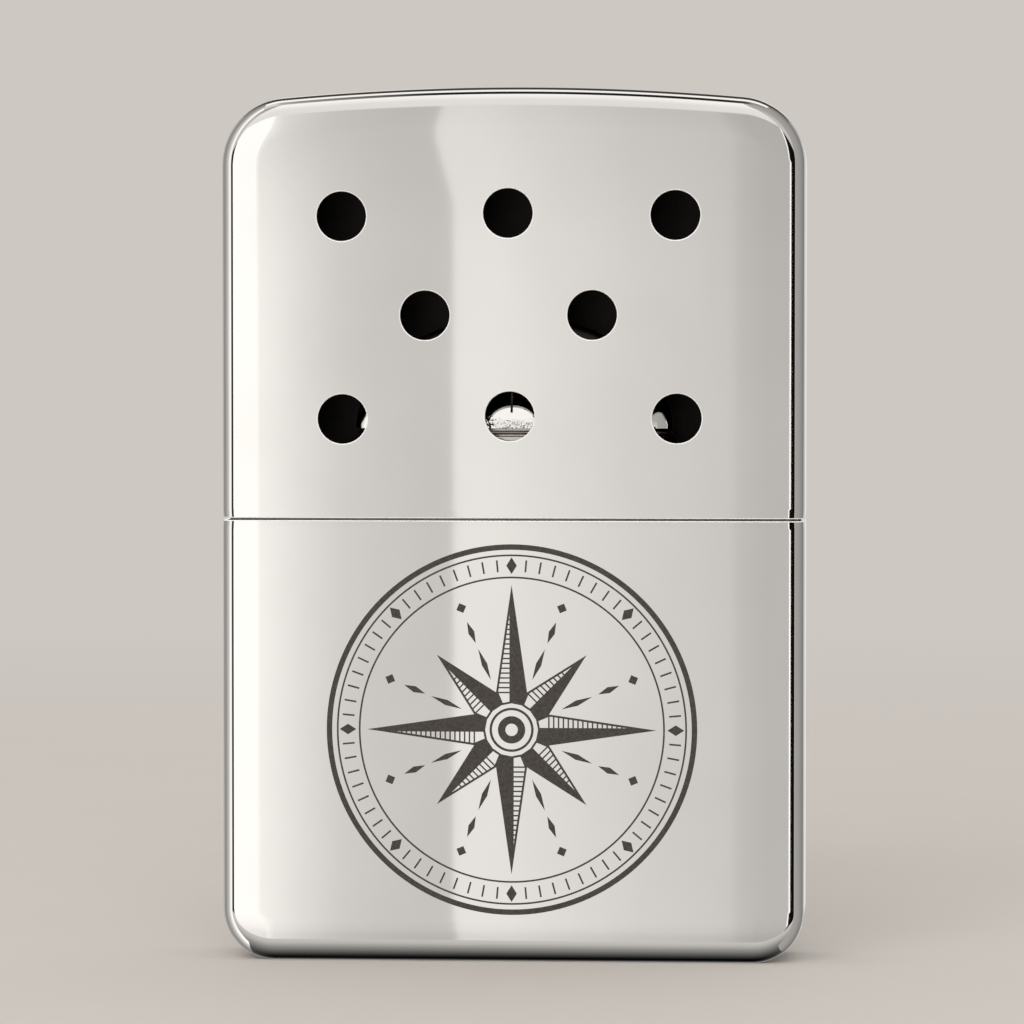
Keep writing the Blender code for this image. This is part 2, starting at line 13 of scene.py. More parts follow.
import bmesh
import bpy
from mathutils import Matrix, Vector

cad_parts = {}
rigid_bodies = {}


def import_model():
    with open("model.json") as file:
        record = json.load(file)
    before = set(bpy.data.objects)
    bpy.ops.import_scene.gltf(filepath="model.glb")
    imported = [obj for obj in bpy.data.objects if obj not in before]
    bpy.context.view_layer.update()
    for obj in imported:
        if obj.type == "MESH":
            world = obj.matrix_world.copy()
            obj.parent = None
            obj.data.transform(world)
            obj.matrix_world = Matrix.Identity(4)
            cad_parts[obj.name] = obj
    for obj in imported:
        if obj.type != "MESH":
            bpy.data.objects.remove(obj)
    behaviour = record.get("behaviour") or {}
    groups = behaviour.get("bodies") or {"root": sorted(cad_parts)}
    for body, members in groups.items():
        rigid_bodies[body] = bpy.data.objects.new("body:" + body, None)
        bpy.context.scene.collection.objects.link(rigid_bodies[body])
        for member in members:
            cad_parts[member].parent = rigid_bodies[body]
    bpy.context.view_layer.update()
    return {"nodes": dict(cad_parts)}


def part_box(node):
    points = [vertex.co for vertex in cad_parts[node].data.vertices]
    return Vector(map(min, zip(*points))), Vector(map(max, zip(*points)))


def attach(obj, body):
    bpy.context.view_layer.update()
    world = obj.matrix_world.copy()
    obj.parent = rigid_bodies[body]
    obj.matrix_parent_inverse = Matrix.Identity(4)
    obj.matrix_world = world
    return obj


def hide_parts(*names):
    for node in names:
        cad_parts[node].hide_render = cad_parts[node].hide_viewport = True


MM = 0.001
NEAR = 0.01 * MM
MERGE_REACH = 1e-7
LOG = logging.getLogger("hand_warmer")

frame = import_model()

Piece = bpy.types.Object
Material = bpy.types.Material
Socket = bpy.types.NodeSocket
Triple = tuple[float, float, float]
Stops = Sequence[tuple[float, Triple]]
Tones = tuple[tuple[float, float], ...]
Test = Callable[..., bool]


# Bench: the edit-mode moves that every piece is made with.


class Part(Enum):
    """What a selection in edit mode is made of."""

    VERT = "VERT"
    EDGE = "EDGE"
    FACE = "FACE"


class Body(Enum):
    """The bodies of the frame that pieces ride on."""

    TANK = "tank"
    BURNER = "burner"
    CAP = "cap"


def put_down() -> None:
    """Leaves edit mode and deselects every object."""
    active = bpy.context.view_layer.objects.active
    if active is not None and active.mode != "OBJECT":
        bpy.ops.object.mode_set(mode="OBJECT")
    bpy.ops.object.select_all(action="DESELECT")


def take_up(piece: Piece) -> None:
    """Makes one piece the only selected and the active object.

    Args:
        piece: the object to take up.
    """
    put_down()
    piece.select_set(True)
    bpy.context.view_layer.objects.active = piece


def edit(piece: Piece) -> None:
    """Opens one piece in edit mode."""
    take_up(piece)
    bpy.ops.object.mode_set(mode="EDIT")


def settle() -> None:
    """Applies the place, turn and scale of the object in hand to its mesh."""
    bpy.ops.object.transform_apply(location=True, rotation=True, scale=True)


def mark(piece: Piece, part: Part, test: Test) -> None:
    """Selects the parts of an open mesh that pass a test.

    Args:
        piece: the object that is open in edit mode.
        part: what is selected.
        test: takes a vertex's place, an edge's two ends, or a face's middle and normal.
    """
    bpy.ops.mesh.select_mode(type=part.value)
    bpy.ops.mesh.select_all(action="DESELECT")
    sheet = bmesh.from_edit_mesh(piece.data)
    if part is Part.VERT:
        group = [v for v in sheet.verts if test(v.co)]
    elif part is Part.EDGE:
        group = [e for e in sheet.edges if test(e.verts[0].co, e.verts[1].co)]
    else:
        group = [f for f in sheet.faces if test(f.calc_center_median(), f.normal)]
    for item in group:
        item.select_set(True)
    sheet.select_flush_mode()
    bmesh.update_edit_mesh(piece.data)


def mark_all() -> None:
    """Selects the whole open mesh."""
    bpy.ops.mesh.select_all(action="SELECT")


def slide(shift: Triple) -> None:
    """Moves the selection of the open mesh."""
    bpy.ops.transform.translate(value=shift)


def swell(scale: Triple, centre: Triple) -> None:
    """Scales the selection of the open mesh about a point."""
    bpy.ops.transform.resize(value=scale, center_override=centre)


def pull(shift: Triple) -> None:
    """Extrudes the selection of the open mesh and moves what is new."""
    bpy.ops.mesh.extrude_region_move(TRANSFORM_OT_translate={"value": shift})


def round_off(width: float, steps: int, **settings: object) -> None:
    """Rounds the marked edges of the open mesh, with further settings of the bevel."""
    bpy.ops.mesh.bevel(offset=width, segments=steps, profile=0.5, affect="EDGES", **settings)


def paint_marked(piece: Piece) -> None:
    """Gives the marked faces of the open mesh the last of the piece's finishes."""
    piece.active_material_index = len(piece.data.materials) - 1
    bpy.ops.object.material_slot_assign()


def slice_level(level: float) -> None:
    """Cuts a level row of edges through the open mesh at a height."""
    mark_all()
    bpy.ops.mesh.bisect(plane_co=(0, 0, level), plane_no=(0, 0, 1))


def open_up(piece: Piece, test: Test) -> None:
    """Turns the faces of an open mesh outwards and deletes those that pass a test.

    Args:
        piece: the object that is open in edit mode.
        test: takes a face's middle and normal.
    """
    mark_all()
    bpy.ops.mesh.normals_make_consistent(inside=False)
    mark(piece, Part.FACE, test)
    bpy.ops.mesh.delete(type="FACE")


def close_up(piece: Piece, outwards: bool = True) -> None:
    """Merges doubles, turns the faces outwards and leaves edit mode.

    Args:
        piece: the object that is open in edit mode.
        outwards: whether the normals are recalculated.
    """
    bpy.ops.mesh.select_mode(type="VERT")
    mark_all()
    bpy.ops.mesh.remove_doubles(threshold=MERGE_REACH)
    if outwards:
        bpy.ops.mesh.normals_make_consistent(inside=False)
    bpy.ops.mesh.select_all(action="DESELECT")
    take_up(piece)


def finish_with(piece: Piece, kind: str, **settings: object) -> None:
    """Adds one modifier to a piece and applies it.

    Args:
        piece: the object that it changes.
        kind: Blender's name for the modifier.
        settings: its settings.
    """
    take_up(piece)
    change = piece.modifiers.new(kind.title(), kind)
    for name, value in settings.items():
        setattr(change, name, value)
    bpy.ops.object.modifier_apply(modifier=change.name)


def double_back(piece: Piece) -> None:
    """Mirrors the front half of a piece to the back and closes the joint.

    Args:
        piece: the half that is mirrored.
    """
    finish_with(piece, "MIRROR", use_axis=(False, True, False), use_clip=True, merge_threshold=1e-6)
    edit(piece)
    close_up(piece)


def give_wall(piece: Piece, wall: float, **settings: object) -> None:
    """Gives a skin its wall, inwards, with further settings of the modifier."""
    finish_with(piece, "SOLIDIFY", thickness=wall, offset=-1.0, use_even_offset=True, **settings)


def ease_edges(piece: Piece, width: float, steps: int, sharper_than: float) -> None:
    """Bevels the edges of a piece that are sharper than an angle in degrees."""
    angle = math.radians(sharper_than)
    finish_with(piece, "BEVEL", width=width, segments=steps, limit_method="ANGLE", angle_limit=angle)


def soften(piece: Piece, voxel: float, factor: float, rounds: int) -> None:
    """Turns a block into fine, even faces and relaxes them."""
    finish_with(piece, "REMESH", mode="VOXEL", voxel_size=voxel)
    finish_with(piece, "SMOOTH", factor=factor, iterations=rounds)


def cut(piece: Piece, tool: Piece, operation: str = "DIFFERENCE") -> None:
    """Cuts a tool's shape out of a piece, or adds it, and clears the tool away.

    Args:
        piece: the object that is cut.
        tool: a closed mesh.
        operation: DIFFERENCE, UNION to add the tool, or INTERSECT to keep what is shared.
    """
    finish_with(piece, "BOOLEAN", object=tool, operation=operation, solver="EXACT")
    bpy.data.objects.remove(tool)


def smooth(piece: Piece, crease: float = 32.0, weighted: bool = True) -> None:
    """Shades a piece smooth, apart from its creases.

    Args:
        piece: the object to shade.
        crease: the angle in degrees from which an edge stays sharp.
        weighted: whether large faces keep their own normals.
    """
    take_up(piece)
    bpy.ops.object.shade_smooth_by_angle(angle=math.radians(crease), keep_sharp_edges=True)
    if weighted:
        finish_with(piece, "WEIGHTED_NORMAL", keep_sharp=True, weight=50)


def dress(piece: Piece, material: Material, crease: float = 32.0, weighted: bool = True) -> None:
    """Gives a piece its material and shades it smooth, apart from its creases."""
    piece.data.materials.append(material)
    smooth(piece, crease, weighted)


def join(first: Piece, *others: Piece) -> Piece:
    """Joins objects into the first.

    Args:
        first: the object that stays.
        others: the objects that become part of it.

    Returns:
        The first object.
    """
    take_up(first)
    for other in others:
        other.select_set(True)
    bpy.ops.object.join()
    return first


def copied(piece: Piece, name: str) -> Piece:
    """Copies an object together with its mesh.

    Args:
        piece: the object to copy.
        name: the new object's name.

    Returns:
        The copy.
    """
    take_up(piece)
    bpy.ops.object.duplicate(linked=False)
    return named(bpy.context.view_layer.objects.active, name)


def shifted(piece: Piece, shift: Triple) -> Piece:
    """Moves the whole mesh of an object.

    Args:
        piece: the object to move.
        shift: how far it goes.

    Returns:
        The object.
    """
    edit(piece)
    mark_all()
    slide(shift)
    take_up(piece)
    return piece


def named(piece: Piece, name: str) -> Piece:
    """Names an object and its mesh.

    Args:
        piece: the object.
        name: its new name.

    Returns:
        The object.
    """
    piece.name = name
    piece.data.name = name
    return piece


def fit_out(piece: Piece, body: Body, slot: str, *nodes: str) -> Piece:
    """Puts a finished piece on its body.

    Args:
        piece: the finished object.
        body: the body that it rides on.
        slot: the record's material slot; not used.
        nodes: the CAD nodes that it stands for.

    Returns:
        The piece.
    """
    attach(piece, body.value)
    if nodes:
        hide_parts(*nodes)
    LOG.info("%s: %d faces on %s", piece.name, len(piece.data.polygons), body.value)
    return piece


def begin_plane(name: str, half_x: float, half_y: float, level: float) -> Piece:
    """Lays down one flat face, open for editing.

    Args:
        name: the object's name.
        half_x: half its width.
        half_y: half its depth.
        level: its height.

    Returns:
        The object, in edit mode and selected all over.
    """
    put_down()
    bpy.ops.mesh.primitive_plane_add(size=2, location=(0, 0, level))
    piece = named(bpy.context.object, name)
    piece.scale = (half_x, half_y, 1)
    settle()
    bpy.ops.object.mode_set(mode="EDIT")
    mark_all()
    return piece


def begin_disc(name: str, radius: float, centre: Triple, sides: int) -> Piece:
    """Stands up one round face that faces the viewer, open for editing.

    Args:
        name: the object's name.
        radius: its radius.
        centre: its middle.
        sides: how many edges it has.

    Returns:
        The object, in edit mode and selected all over.
    """
    put_down()
    bpy.ops.mesh.primitive_circle_add(
        vertices=sides, radius=radius, fill_type="NGON", location=centre, rotation=(math.pi / 2, 0, 0)
    )
    piece = named(bpy.context.object, name)
    settle()
    bpy.ops.object.mode_set(mode="EDIT")
    mark_all()
    return piece


class Scriber:
    """A point that draws an outline in an upright plane, by extrude and spin."""

    def __init__(self, name: str, x: float, y: float, z: float) -> None:
        """Starts the outline at a point.

        Args:
            name: the name of the outline's object.
            x: where the outline starts.
            y: the depth at which the plane stands.
            z: where the outline starts.
        """
        self.x, self.y, self.z = x, y, z
        self.piece = begin_plane(name, MM, MM, 0.0)
        bpy.ops.mesh.merge(type="CENTER")
        bpy.ops.mesh.select_mode(type="VERT")
        mark_all()
        slide((x, y, z))

    def line_to(self, x: float, z: float) -> None:
        """Draws a straight line."""
        pull((x - self.x, 0, z - self.z))
        self.x, self.z = x, z

    def arc(self, centre_x: float, centre_z: float, turn: float, steps: int) -> None:
        """Draws an arc.

        Args:
            centre_x: the arc's centre.
            centre_z: the arc's centre.
            turn: how far it goes round, in radians, clockwise as the viewer sees it.
            steps: how many straight pieces it has.
        """
        bpy.ops.mesh.spin(steps=steps, angle=-turn, center=(centre_x, self.y, centre_z), axis=(0, 1, 0))
        dx, dz = self.x - centre_x, self.z - centre_z
        self.x = centre_x + dx * math.cos(turn) + dz * math.sin(turn)
        self.z = centre_z - dx * math.sin(turn) + dz * math.cos(turn)

    def close(self, start_x: float, start_z: float) -> Piece:
        """Draws the last line back to the start and fills the outline.

        Args:
            start_x: the point that the outline started at.
            start_z: the point that the outline started at.

        Returns:
            The outline's object, in edit mode, with one face that faces the viewer.
        """
        pull((start_x - self.x, 0, start_z - self.z))
        bpy.ops.mesh.select_mode(type="VERT")
        mark_all()
        bpy.ops.mesh.remove_doubles(threshold=MERGE_REACH)
        mark_all()
        bpy.ops.mesh.edge_face_add()
        return self.piece


# Finishes: one small class for each.


class Wiring:
    """A node tree while it is wired."""

    def __init__(self, tree: bpy.types.NodeTree) -> None:
        """Takes up a tree."""
        self.tree = tree

    def add(self, kind: str, inputs: dict[object, object], **settings: object) -> Socket:
        """Adds a node.

        Args:
            kind: Blender's name for the node.
            inputs: values or sockets, by input name or number.
            settings: the node's own settings.

        Returns:
            The node's first output.
        """
        node = self.tree.nodes.new(kind)
        for name, value in settings.items():
            setattr(node, name, value)
        for key, value in inputs.items():
            if isinstance(value, Socket):
                self.tree.links.new(value, node.inputs[key])
            else:
                node.inputs[key].default_value = value
        return node.outputs[0]

    def ranged(self, source: Socket, low: float, high: float, start: float = 0.0, end: float = 1.0) -> Socket:
        """Maps a source from start..end to low..high, held at the ends."""
        span = {"Value": source, "From Min": start, "From Max": end, "To Min": low, "To Max": high}
        return self.add("ShaderNodeMapRange", span)

    def maths(self, operation: str, *terms: object) -> Socket:
        """Adds one step of arithmetic on up to three terms."""
        return self.add("ShaderNodeMath", dict(enumerate(terms)), operation=operation)

    def ramp(self, source: Socket, stops: Stops) -> Socket:
        """Colours a source by stops.

        Args:
            source: a value from 0 to 1.
            stops: places and colours, in order.

        Returns:
            The colour.
        """
        colour = self.add("ShaderNodeValToRGB", {"Fac": source})
        elements = colour.node.color_ramp.elements
        while len(elements) < len(stops):
            elements.new(0.5)
        for element, (where, tint) in zip(elements, stops):
            element.position = where
            element.color = (*tint, 1.0)
        return colour


class Sheet(Wiring):
    """A node material while it is wired."""

    def __init__(self, name: str, **shader: object) -> None:
        """Starts a material.

        Args:
            name: the material's name.
            shader: the shader's own values, by socket name with spaces as underscores.
        """
        self.material = bpy.data.materials.new(name)
        self.material.use_nodes = True
        super().__init__(self.material.node_tree)
        self.shader = self.tree.nodes["Principled BSDF"]
        for socket, value in shader.items():
            self.shader.inputs[socket.replace("_", " ")].default_value = value
        self.place = self.tree.nodes.new("ShaderNodeTexCoord").outputs["Object"]

    def stretched(self, scale: Triple, turn: float = 0.0) -> Socket:
        """Gives the object's coordinates, scaled by axis and turned about Y."""
        return self.add("ShaderNodeMapping", {"Vector": self.place, "Scale": scale, "Rotation": (0, turn, 0)})

    def noise(
        self, scale: float, place: Optional[Socket] = None, detail: float = 2.0, rough: float = 0.5, twist: float = 0.0
    ) -> Socket:
        """Adds a noise pattern and gives its strength."""
        inputs = {"Vector": place or self.place, "Scale": scale, "Detail": detail, "Roughness": rough}
        return self.add("ShaderNodeTexNoise", {**inputs, "Distortion": twist})

    def relief(self, height: Socket, depth: float) -> None:
        """Raises the surface by a height, at most this deep in metres."""
        inputs = {"Height": height, "Distance": depth, "Strength": 1.0}
        self.wire("Normal", self.add("ShaderNodeBump", inputs))

    def wire(self, socket: str, source: Socket) -> None:
        """Joins a source to the shader."""
        self.tree.links.new(source, self.shader.inputs[socket])

    def show(self, source: Socket) -> None:
        """Shows a source in place of the shader."""
        self.tree.links.new(source, self.tree.nodes["Material Output"].inputs["Surface"])


@dataclass(frozen=True)
class Finish:
    """A finish, with the two tones that its pattern runs between."""

    name: str
    tint: Triple
    shade: Triple

    def start(self) -> Sheet:
        """Starts the material, as bare metal where a finish says nothing else."""
        return Sheet(self.name, Metallic=1.0)

    def pattern(self, sheet: Sheet) -> None:
        """Wires the finish's pattern."""
        raise NotImplementedError

    def tone(self, sheet: Sheet, source: Socket, low: float, high: float) -> None:
        """Runs the colour from shade to tint while a source goes from low to high."""
        sheet.wire("Base Color", sheet.ramp(source, ((low, self.shade), (high, self.tint))))

    def make(self) -> Material:
        """Builds the finish.

        Returns:
            The material.
        """
        sheet = self.start()
        self.pattern(sheet)
        return sheet.material


@dataclass(frozen=True)
class SatinPlate(Finish):
    """Bright plating with a faint upright grain: the case, the burner's plates and the drawn steel."""

    roughness: float
    roughness_spread: float
    grain_scale: float = 9000.0
    grain_stretch: Triple = (1.0, 1.0, 0.02)
    grain_depth: float = 2.0e-8
    cloud_scale: float = 70.0
    wave_scale: float = 55.0
    wave_depth: float = 0.0

    def pattern(self, sheet: Sheet) -> None:
        """Wires the grain, the clouds of tone and the long waves.

        Args:
            sheet: the material.
        """
        grain = sheet.noise(self.grain_scale, sheet.stretched(self.grain_stretch))
        cloud = sheet.noise(self.cloud_scale, detail=3.0)
        self.tone(sheet, cloud, 0.35, 0.65)
        low, high = self.roughness, self.roughness + self.roughness_spread
        sheet.wire("Roughness", sheet.ranged(sheet.maths("MULTIPLY", grain, cloud), low, high, 0.1, 0.45))
        height = grain
        if self.wave_depth:
            wave = sheet.noise(self.wave_scale, detail=1.0)
            height = sheet.maths("MULTIPLY_ADD", wave, self.wave_depth / self.grain_depth, grain)
        sheet.relief(height, self.grain_depth)


@dataclass(frozen=True)
class HeatTintedPlate(Finish):
    """Bright plate that heat has darkened to its shade above a height and wrinkled low down."""

    roughness: float
    tint_height: float
    tint_fade: float
    wrinkle_height: float
    burnt_roughness: float = 0.25
    ragged_scale: float = 900.0
    ragged_reach: float = 0.7 * MM
    wrinkle_scale: float = 850.0
    wrinkle_stretch: Triple = (1.0, 1.0, 1.6)
    wrinkle_fade: float = 0.9 * MM
    wrinkle_depth: float = 3.4e-4
    wrinkled_to: float = 6.0 * MM
    plain_from: float = 9.0 * MM

    def pattern(self, sheet: Sheet) -> None:
        """Wires the ragged edge of the burnt tone and the wrinkles in the middle of the plate.

        Args:
            sheet: the material.
        """
        parts = sheet.add("ShaderNodeSeparateXYZ", {0: sheet.place}).node.outputs
        height = parts["Z"]
        ragged = sheet.noise(self.ragged_scale, detail=3.0)
        edge = sheet.maths("MULTIPLY_ADD", ragged, self.ragged_reach, height)
        burn = sheet.ranged(edge, 0.0, 1.0, self.tint_height, self.tint_height + self.tint_fade)
        sheet.wire("Base Color", sheet.ramp(burn, ((0.0, self.tint), (1.0, self.shade))))
        sheet.wire("Roughness", sheet.ranged(burn, self.roughness, self.roughness + self.burnt_roughness))
        noise = sheet.noise(self.wrinkle_scale, sheet.stretched(self.wrinkle_stretch), 2.5)
        wrinkles = sheet.maths("SUBTRACT", noise, 0.5)
        low_down = sheet.ranged(height, 1.0, 0.0, self.wrinkle_height - self.wrinkle_fade, self.wrinkle_height)
        reach = sheet.maths("ABSOLUTE", parts["X"])
        midway = sheet.ranged(reach, 1.0, 0.0, self.wrinkled_to, self.plain_from)
        place = sheet.maths("MULTIPLY", low_down, midway)
        sheet.relief(sheet.maths("MULTIPLY", wrinkles, place), self.wrinkle_depth)


@dataclass(frozen=True)
class DullSteelAndPaintedLight(Finish):
    """Steel that heat or wear has dulled: the bead and the wire; also the collar and the inside of the cap, darkened
    as painted shade, and the rims, whitened as a painted highlight.
    """

    roughness: float = 0.45
    metallic: float = 1.0
    bloom_scale: float = 260.0
    grit_scale: float = 5200.0
    grit_depth: float = 2.0e-6

    def start(self) -> Sheet:
        """Starts the material."""
        return Sheet(self.name, Metallic=self.metallic)

    def pattern(self, sheet: Sheet) -> None:
        """Wires the bloom and the grit.

        Args:
            sheet: the material.
        """
        bloom = sheet.noise(self.bloom_scale, detail=5.0, rough=0.62)
        self.tone(sheet, bloom, 0.36, 0.66)
        sheet.wire("Roughness", sheet.ranged(bloom, self.roughness - 0.1, self.roughness + 0.12, 0.3, 0.7))
        sheet.relief(sheet.noise(self.grit_scale, detail=3.0), self.grit_depth)


@dataclass(frozen=True)
class Fibre(Finish):
    """Matted fibre: cotton, felt and the catalyst's glass mat."""

    fibre_scale: float = 2600.0
    depth: float = 6.0e-5
    sheen: float = 0.25
    warp_scale: float = 420.0
    strand_stretch: Triple = (1.0, 1.0, 0.3)
    strand_turn: float = 0.6

    def start(self) -> Sheet:
        """Starts the material, with a soft sheen."""
        return Sheet(self.name, Roughness=0.92, Sheen_Weight=self.sheen, Sheen_Roughness=0.5)

    def pattern(self, sheet: Sheet) -> None:
        """Wires the strands and the drifts that they lie in.

        Args:
            sheet: the material.
        """
        warp = sheet.noise(self.warp_scale, detail=4.0)
        place = sheet.stretched(self.strand_stretch, self.strand_turn)
        strands = sheet.noise(self.fibre_scale, place, 6.0, twist=1.4)
        self.tone(sheet, sheet.maths("MULTIPLY", strands, warp), 0.12, 0.42)
        sheet.relief(strands, self.depth)


@dataclass(frozen=True)
class DarkenedMark(Finish):
    """The dark brown-grey floor of an engraved mark."""

    speck_scale: float = 3800.0
    depth: float = 4.0e-6

    def start(self) -> Sheet:
        """Starts the material, half metal."""
        return Sheet(self.name, Metallic=0.35, Roughness=0.55)

    def pattern(self, sheet: Sheet) -> None:
        """Wires the specks.

        Args:
            sheet: the material.
        """
        speck = sheet.noise(self.speck_scale, detail=4.0, rough=0.7)
        self.tone(sheet, speck, 0.38, 0.62)
        sheet.relief(speck, self.depth)


SHELL_FINISH = SatinPlate("satin_case", (0.83, 0.81, 0.785), (0.8, 0.78, 0.755), 0.02, 0.015)
DRAWN_FINISH = SatinPlate("drawn_steel", (0.64, 0.63, 0.615), (0.55, 0.54, 0.525), 0.2, 0.14, grain_depth=2.0e-7)
# The collar is darker and duller than drawn steel: painted shade, so that the gap at the seam, where alone it shows,
# reads dark.
COLLAR_SHADE_FINISH = DullSteelAndPaintedLight("collar_steel", (0.34, 0.33, 0.315), (0.24, 0.23, 0.22), 0.42)
BURNER_FINISH = SatinPlate("burner_plate", (0.74, 0.72, 0.69), (0.6, 0.575, 0.54), 0.13, 0.12, wave_depth=1.0e-6)
# The inside of the cap is painted near black: painted shade inside the closed cap.
CAP_INSIDE_SHADE_FINISH = DullSteelAndPaintedLight("cap_inside", (0.07, 0.064, 0.058), (0.028, 0.026, 0.024), 0.5)
BEAD_FINISH = DullSteelAndPaintedLight("heated_steel", (0.4, 0.34, 0.28), (0.24, 0.2, 0.17), 0.32)
# The rims are near white, matte and not metal: a painted highlight on the rounded lips of the shells and round the
# vents.
RIM_HIGHLIGHT_FINISH = DullSteelAndPaintedLight("deburred_rim", (0.97, 0.955, 0.935), (0.93, 0.91, 0.89), 0.4, 0.0)
WIRE_FINISH = DullSteelAndPaintedLight("gauze_wire", (0.46, 0.45, 0.43), (0.28, 0.27, 0.26), 0.38)
MAT_FINISH = Fibre("glass_fibre", (0.34, 0.33, 0.32), (0.13, 0.125, 0.12))
FELT_FINISH = Fibre("wool_felt", (0.68, 0.65, 0.59), (0.44, 0.415, 0.37), sheen=0.35)
COTTON_FINISH = Fibre("packed_cotton", (0.88, 0.87, 0.84), (0.66, 0.65, 0.62), 1900.0, 1.2e-4, 0.4)
HOOD_FINISH = HeatTintedPlate(
    "burner_hood", (0.84, 0.82, 0.795), (0.035, 0.03, 0.026), 0.05, 65.8 * MM, 3.2 * MM, 61.9 * MM
)
MARK_FINISH = DarkenedMark("engraved_mark", (0.085, 0.074, 0.066), (0.05, 0.043, 0.038))


# The case: two drawn shells that meet at the seam.


@dataclass
class DrawnShell:
    """One half of the case, pressed from sheet: sides, closed end, rolled edges and an open lip."""

    name: str
    slot: str = "polished_shell"
    half_width: float = 33.0 * MM
    half_depth: float = 7.0 * MM
    wall: float = 0.5 * MM
    roll: float = 1.4 * MM
    roll_steps: int = 10
    shoulder_width: float = 3.0 * MM
    shoulder_drop: float = 0.07 * MM
    shoulder_rings: int = 5
    lip: float = 50.0 * MM
    lip_round: float = 0.11 * MM
    lip_curl: float = 0.05 * MM
    lip_curl_width: float = 1.3 * MM
    lip_rows: int = 4
    corner_steps: int = 18

    @property
    def up(self) -> float:
        """Gives 1 where the shell reaches up from its lip, and -1 where it reaches down."""
        raise NotImplementedError

    def outline(self) -> Piece:
        """Draws the outline of the shell's front and fills it."""
        raise NotImplementedError

    def from_lip(self, z: float) -> float:
        """Gives how far a height is from the lip."""
        return (z - self.lip) * self.up

    def press(self) -> Piece:
        """Presses the front half: walls, rolled edge and the soft shoulder round the face.

        Returns:
            The object, in edit mode.
        """
        piece = self.outline()
        front = -self.half_depth + self.shoulder_drop
        pull((0, -front, 0))
        open_up(piece, lambda c, n: c.y > -NEAR or abs(self.from_lip(c.z)) < NEAR)
        mark(
            piece,
            Part.EDGE,
            lambda a, b: max(a.y, b.y) < front + NEAR and max(self.from_lip(a.z), self.from_lip(b.z)) > NEAR,
        )
        round_off(self.roll, self.roll_steps)
        mark(piece, Part.FACE, lambda c, n: n.y < -0.999 and abs(c.x) < self.half_width / 2)
        reached, drop = 0.0, 0.0
        for ring in range(1, self.shoulder_rings + 1):
            share = ring / self.shoulder_rings
            out = self.shoulder_width * share
            rise = self.ring_rise(ring)
            bpy.ops.mesh.inset(thickness=out - reached, depth=rise - drop, use_boundary=False, use_even_offset=True)
            reached, drop = out, rise
        self.shape_end(piece, front)
        return piece

    def ring_rise(self, ring: int) -> float:
        """Gives how far a ring of the shoulder stands out from the face's rim."""
        return self.shoulder_drop * (1 - (1 - ring / self.shoulder_rings) ** 2)

    def shape_end(self, piece: Piece, front: float) -> None:
        """Changes the roll where the closed end needs another one."""

    def curl_lip(self, piece: Piece) -> None:
        """Draws the last rows before the lip in a little.

        Args:
            piece: the pressed shell, in edit mode.
        """
        start, reach = self.lip_round * 1.6, 0.02 * MM
        levels = [start + self.lip_curl_width * row / self.lip_rows for row in range(self.lip_rows)]
        for level in levels:
            slice_level(self.lip + self.up * level)
        for level in levels:
            low = level - reach if level > start else -reach
            mark(piece, Part.VERT, lambda p: low < self.from_lip(p.z) < level + reach)
            inwards = self.lip_curl * (1 - level / (start + self.lip_curl_width)) ** 2
            swell((1 - inwards / self.half_width, 1 - inwards / self.half_depth, 1), (0, 0, 0))

    def wall_up(self, piece: Piece, inner_finish: bool) -> None:
        """Mirrors the front half to the back and gives the shell its wall and its rounded lip.

        Args:
            piece: the pressed shell, with its finishes, of which the last is the lip's.
            inner_finish: whether the second finish is the inner wall's.
        """
        double_back(piece)
        give_wall(piece, self.wall, material_offset=int(inner_finish))
        edit(piece)
        mark(
            piece,
            Part.EDGE,
            lambda a, b: max(abs(self.from_lip(a.z)), abs(self.from_lip(b.z))) < NEAR
            and self.across(a) == self.across(b),
        )
        round_off(self.lip_round, 4, clamp_overlap=True)
        # The outer round of the lip takes the last finish, the painted highlight of the rim.
        mark(
            piece,
            Part.FACE,
            lambda c, n: self.from_lip(c.z) < self.lip_round
            and 0.1 < -n.z * self.up < 0.97
            and c.x * n.x + c.y * n.y > 0,
        )
        paint_marked(piece)
        close_up(piece, outwards=False)

    def form(self, *finishes: Finish) -> Piece:
        """Presses the shell and gives it its finishes, its wall and its lip.

        Args:
            finishes: the outer wall's, the inner wall's where it has its own, and the lip's.

        Returns:
            The shell, closed.
        """
        piece = self.press()
        self.curl_lip(piece)
        close_up(piece)
        for finish in finishes:
            piece.data.materials.append(finish.make())
        self.wall_up(piece, len(finishes) > 2)
        return piece

    def across(self, point: Vector) -> bool:
        """Tells whether a point of the lip lies on the inner edge of the wall."""
        inner_x = self.half_width - self.wall * 0.6
        inner_y = self.half_depth - self.shoulder_drop - self.wall * 0.6
        if abs(point.x) > inner_x or abs(point.y) > inner_y:
            return False
        corner_x, corner_y = self.half_width - self.roll, self.half_depth - self.shoulder_drop - self.roll
        if abs(point.x) > corner_x and abs(point.y) > corner_y:
            reach = math.hypot(abs(point.x) - corner_x, abs(point.y) - corner_y)
            return reach < self.roll - self.wall * 0.6
        return True


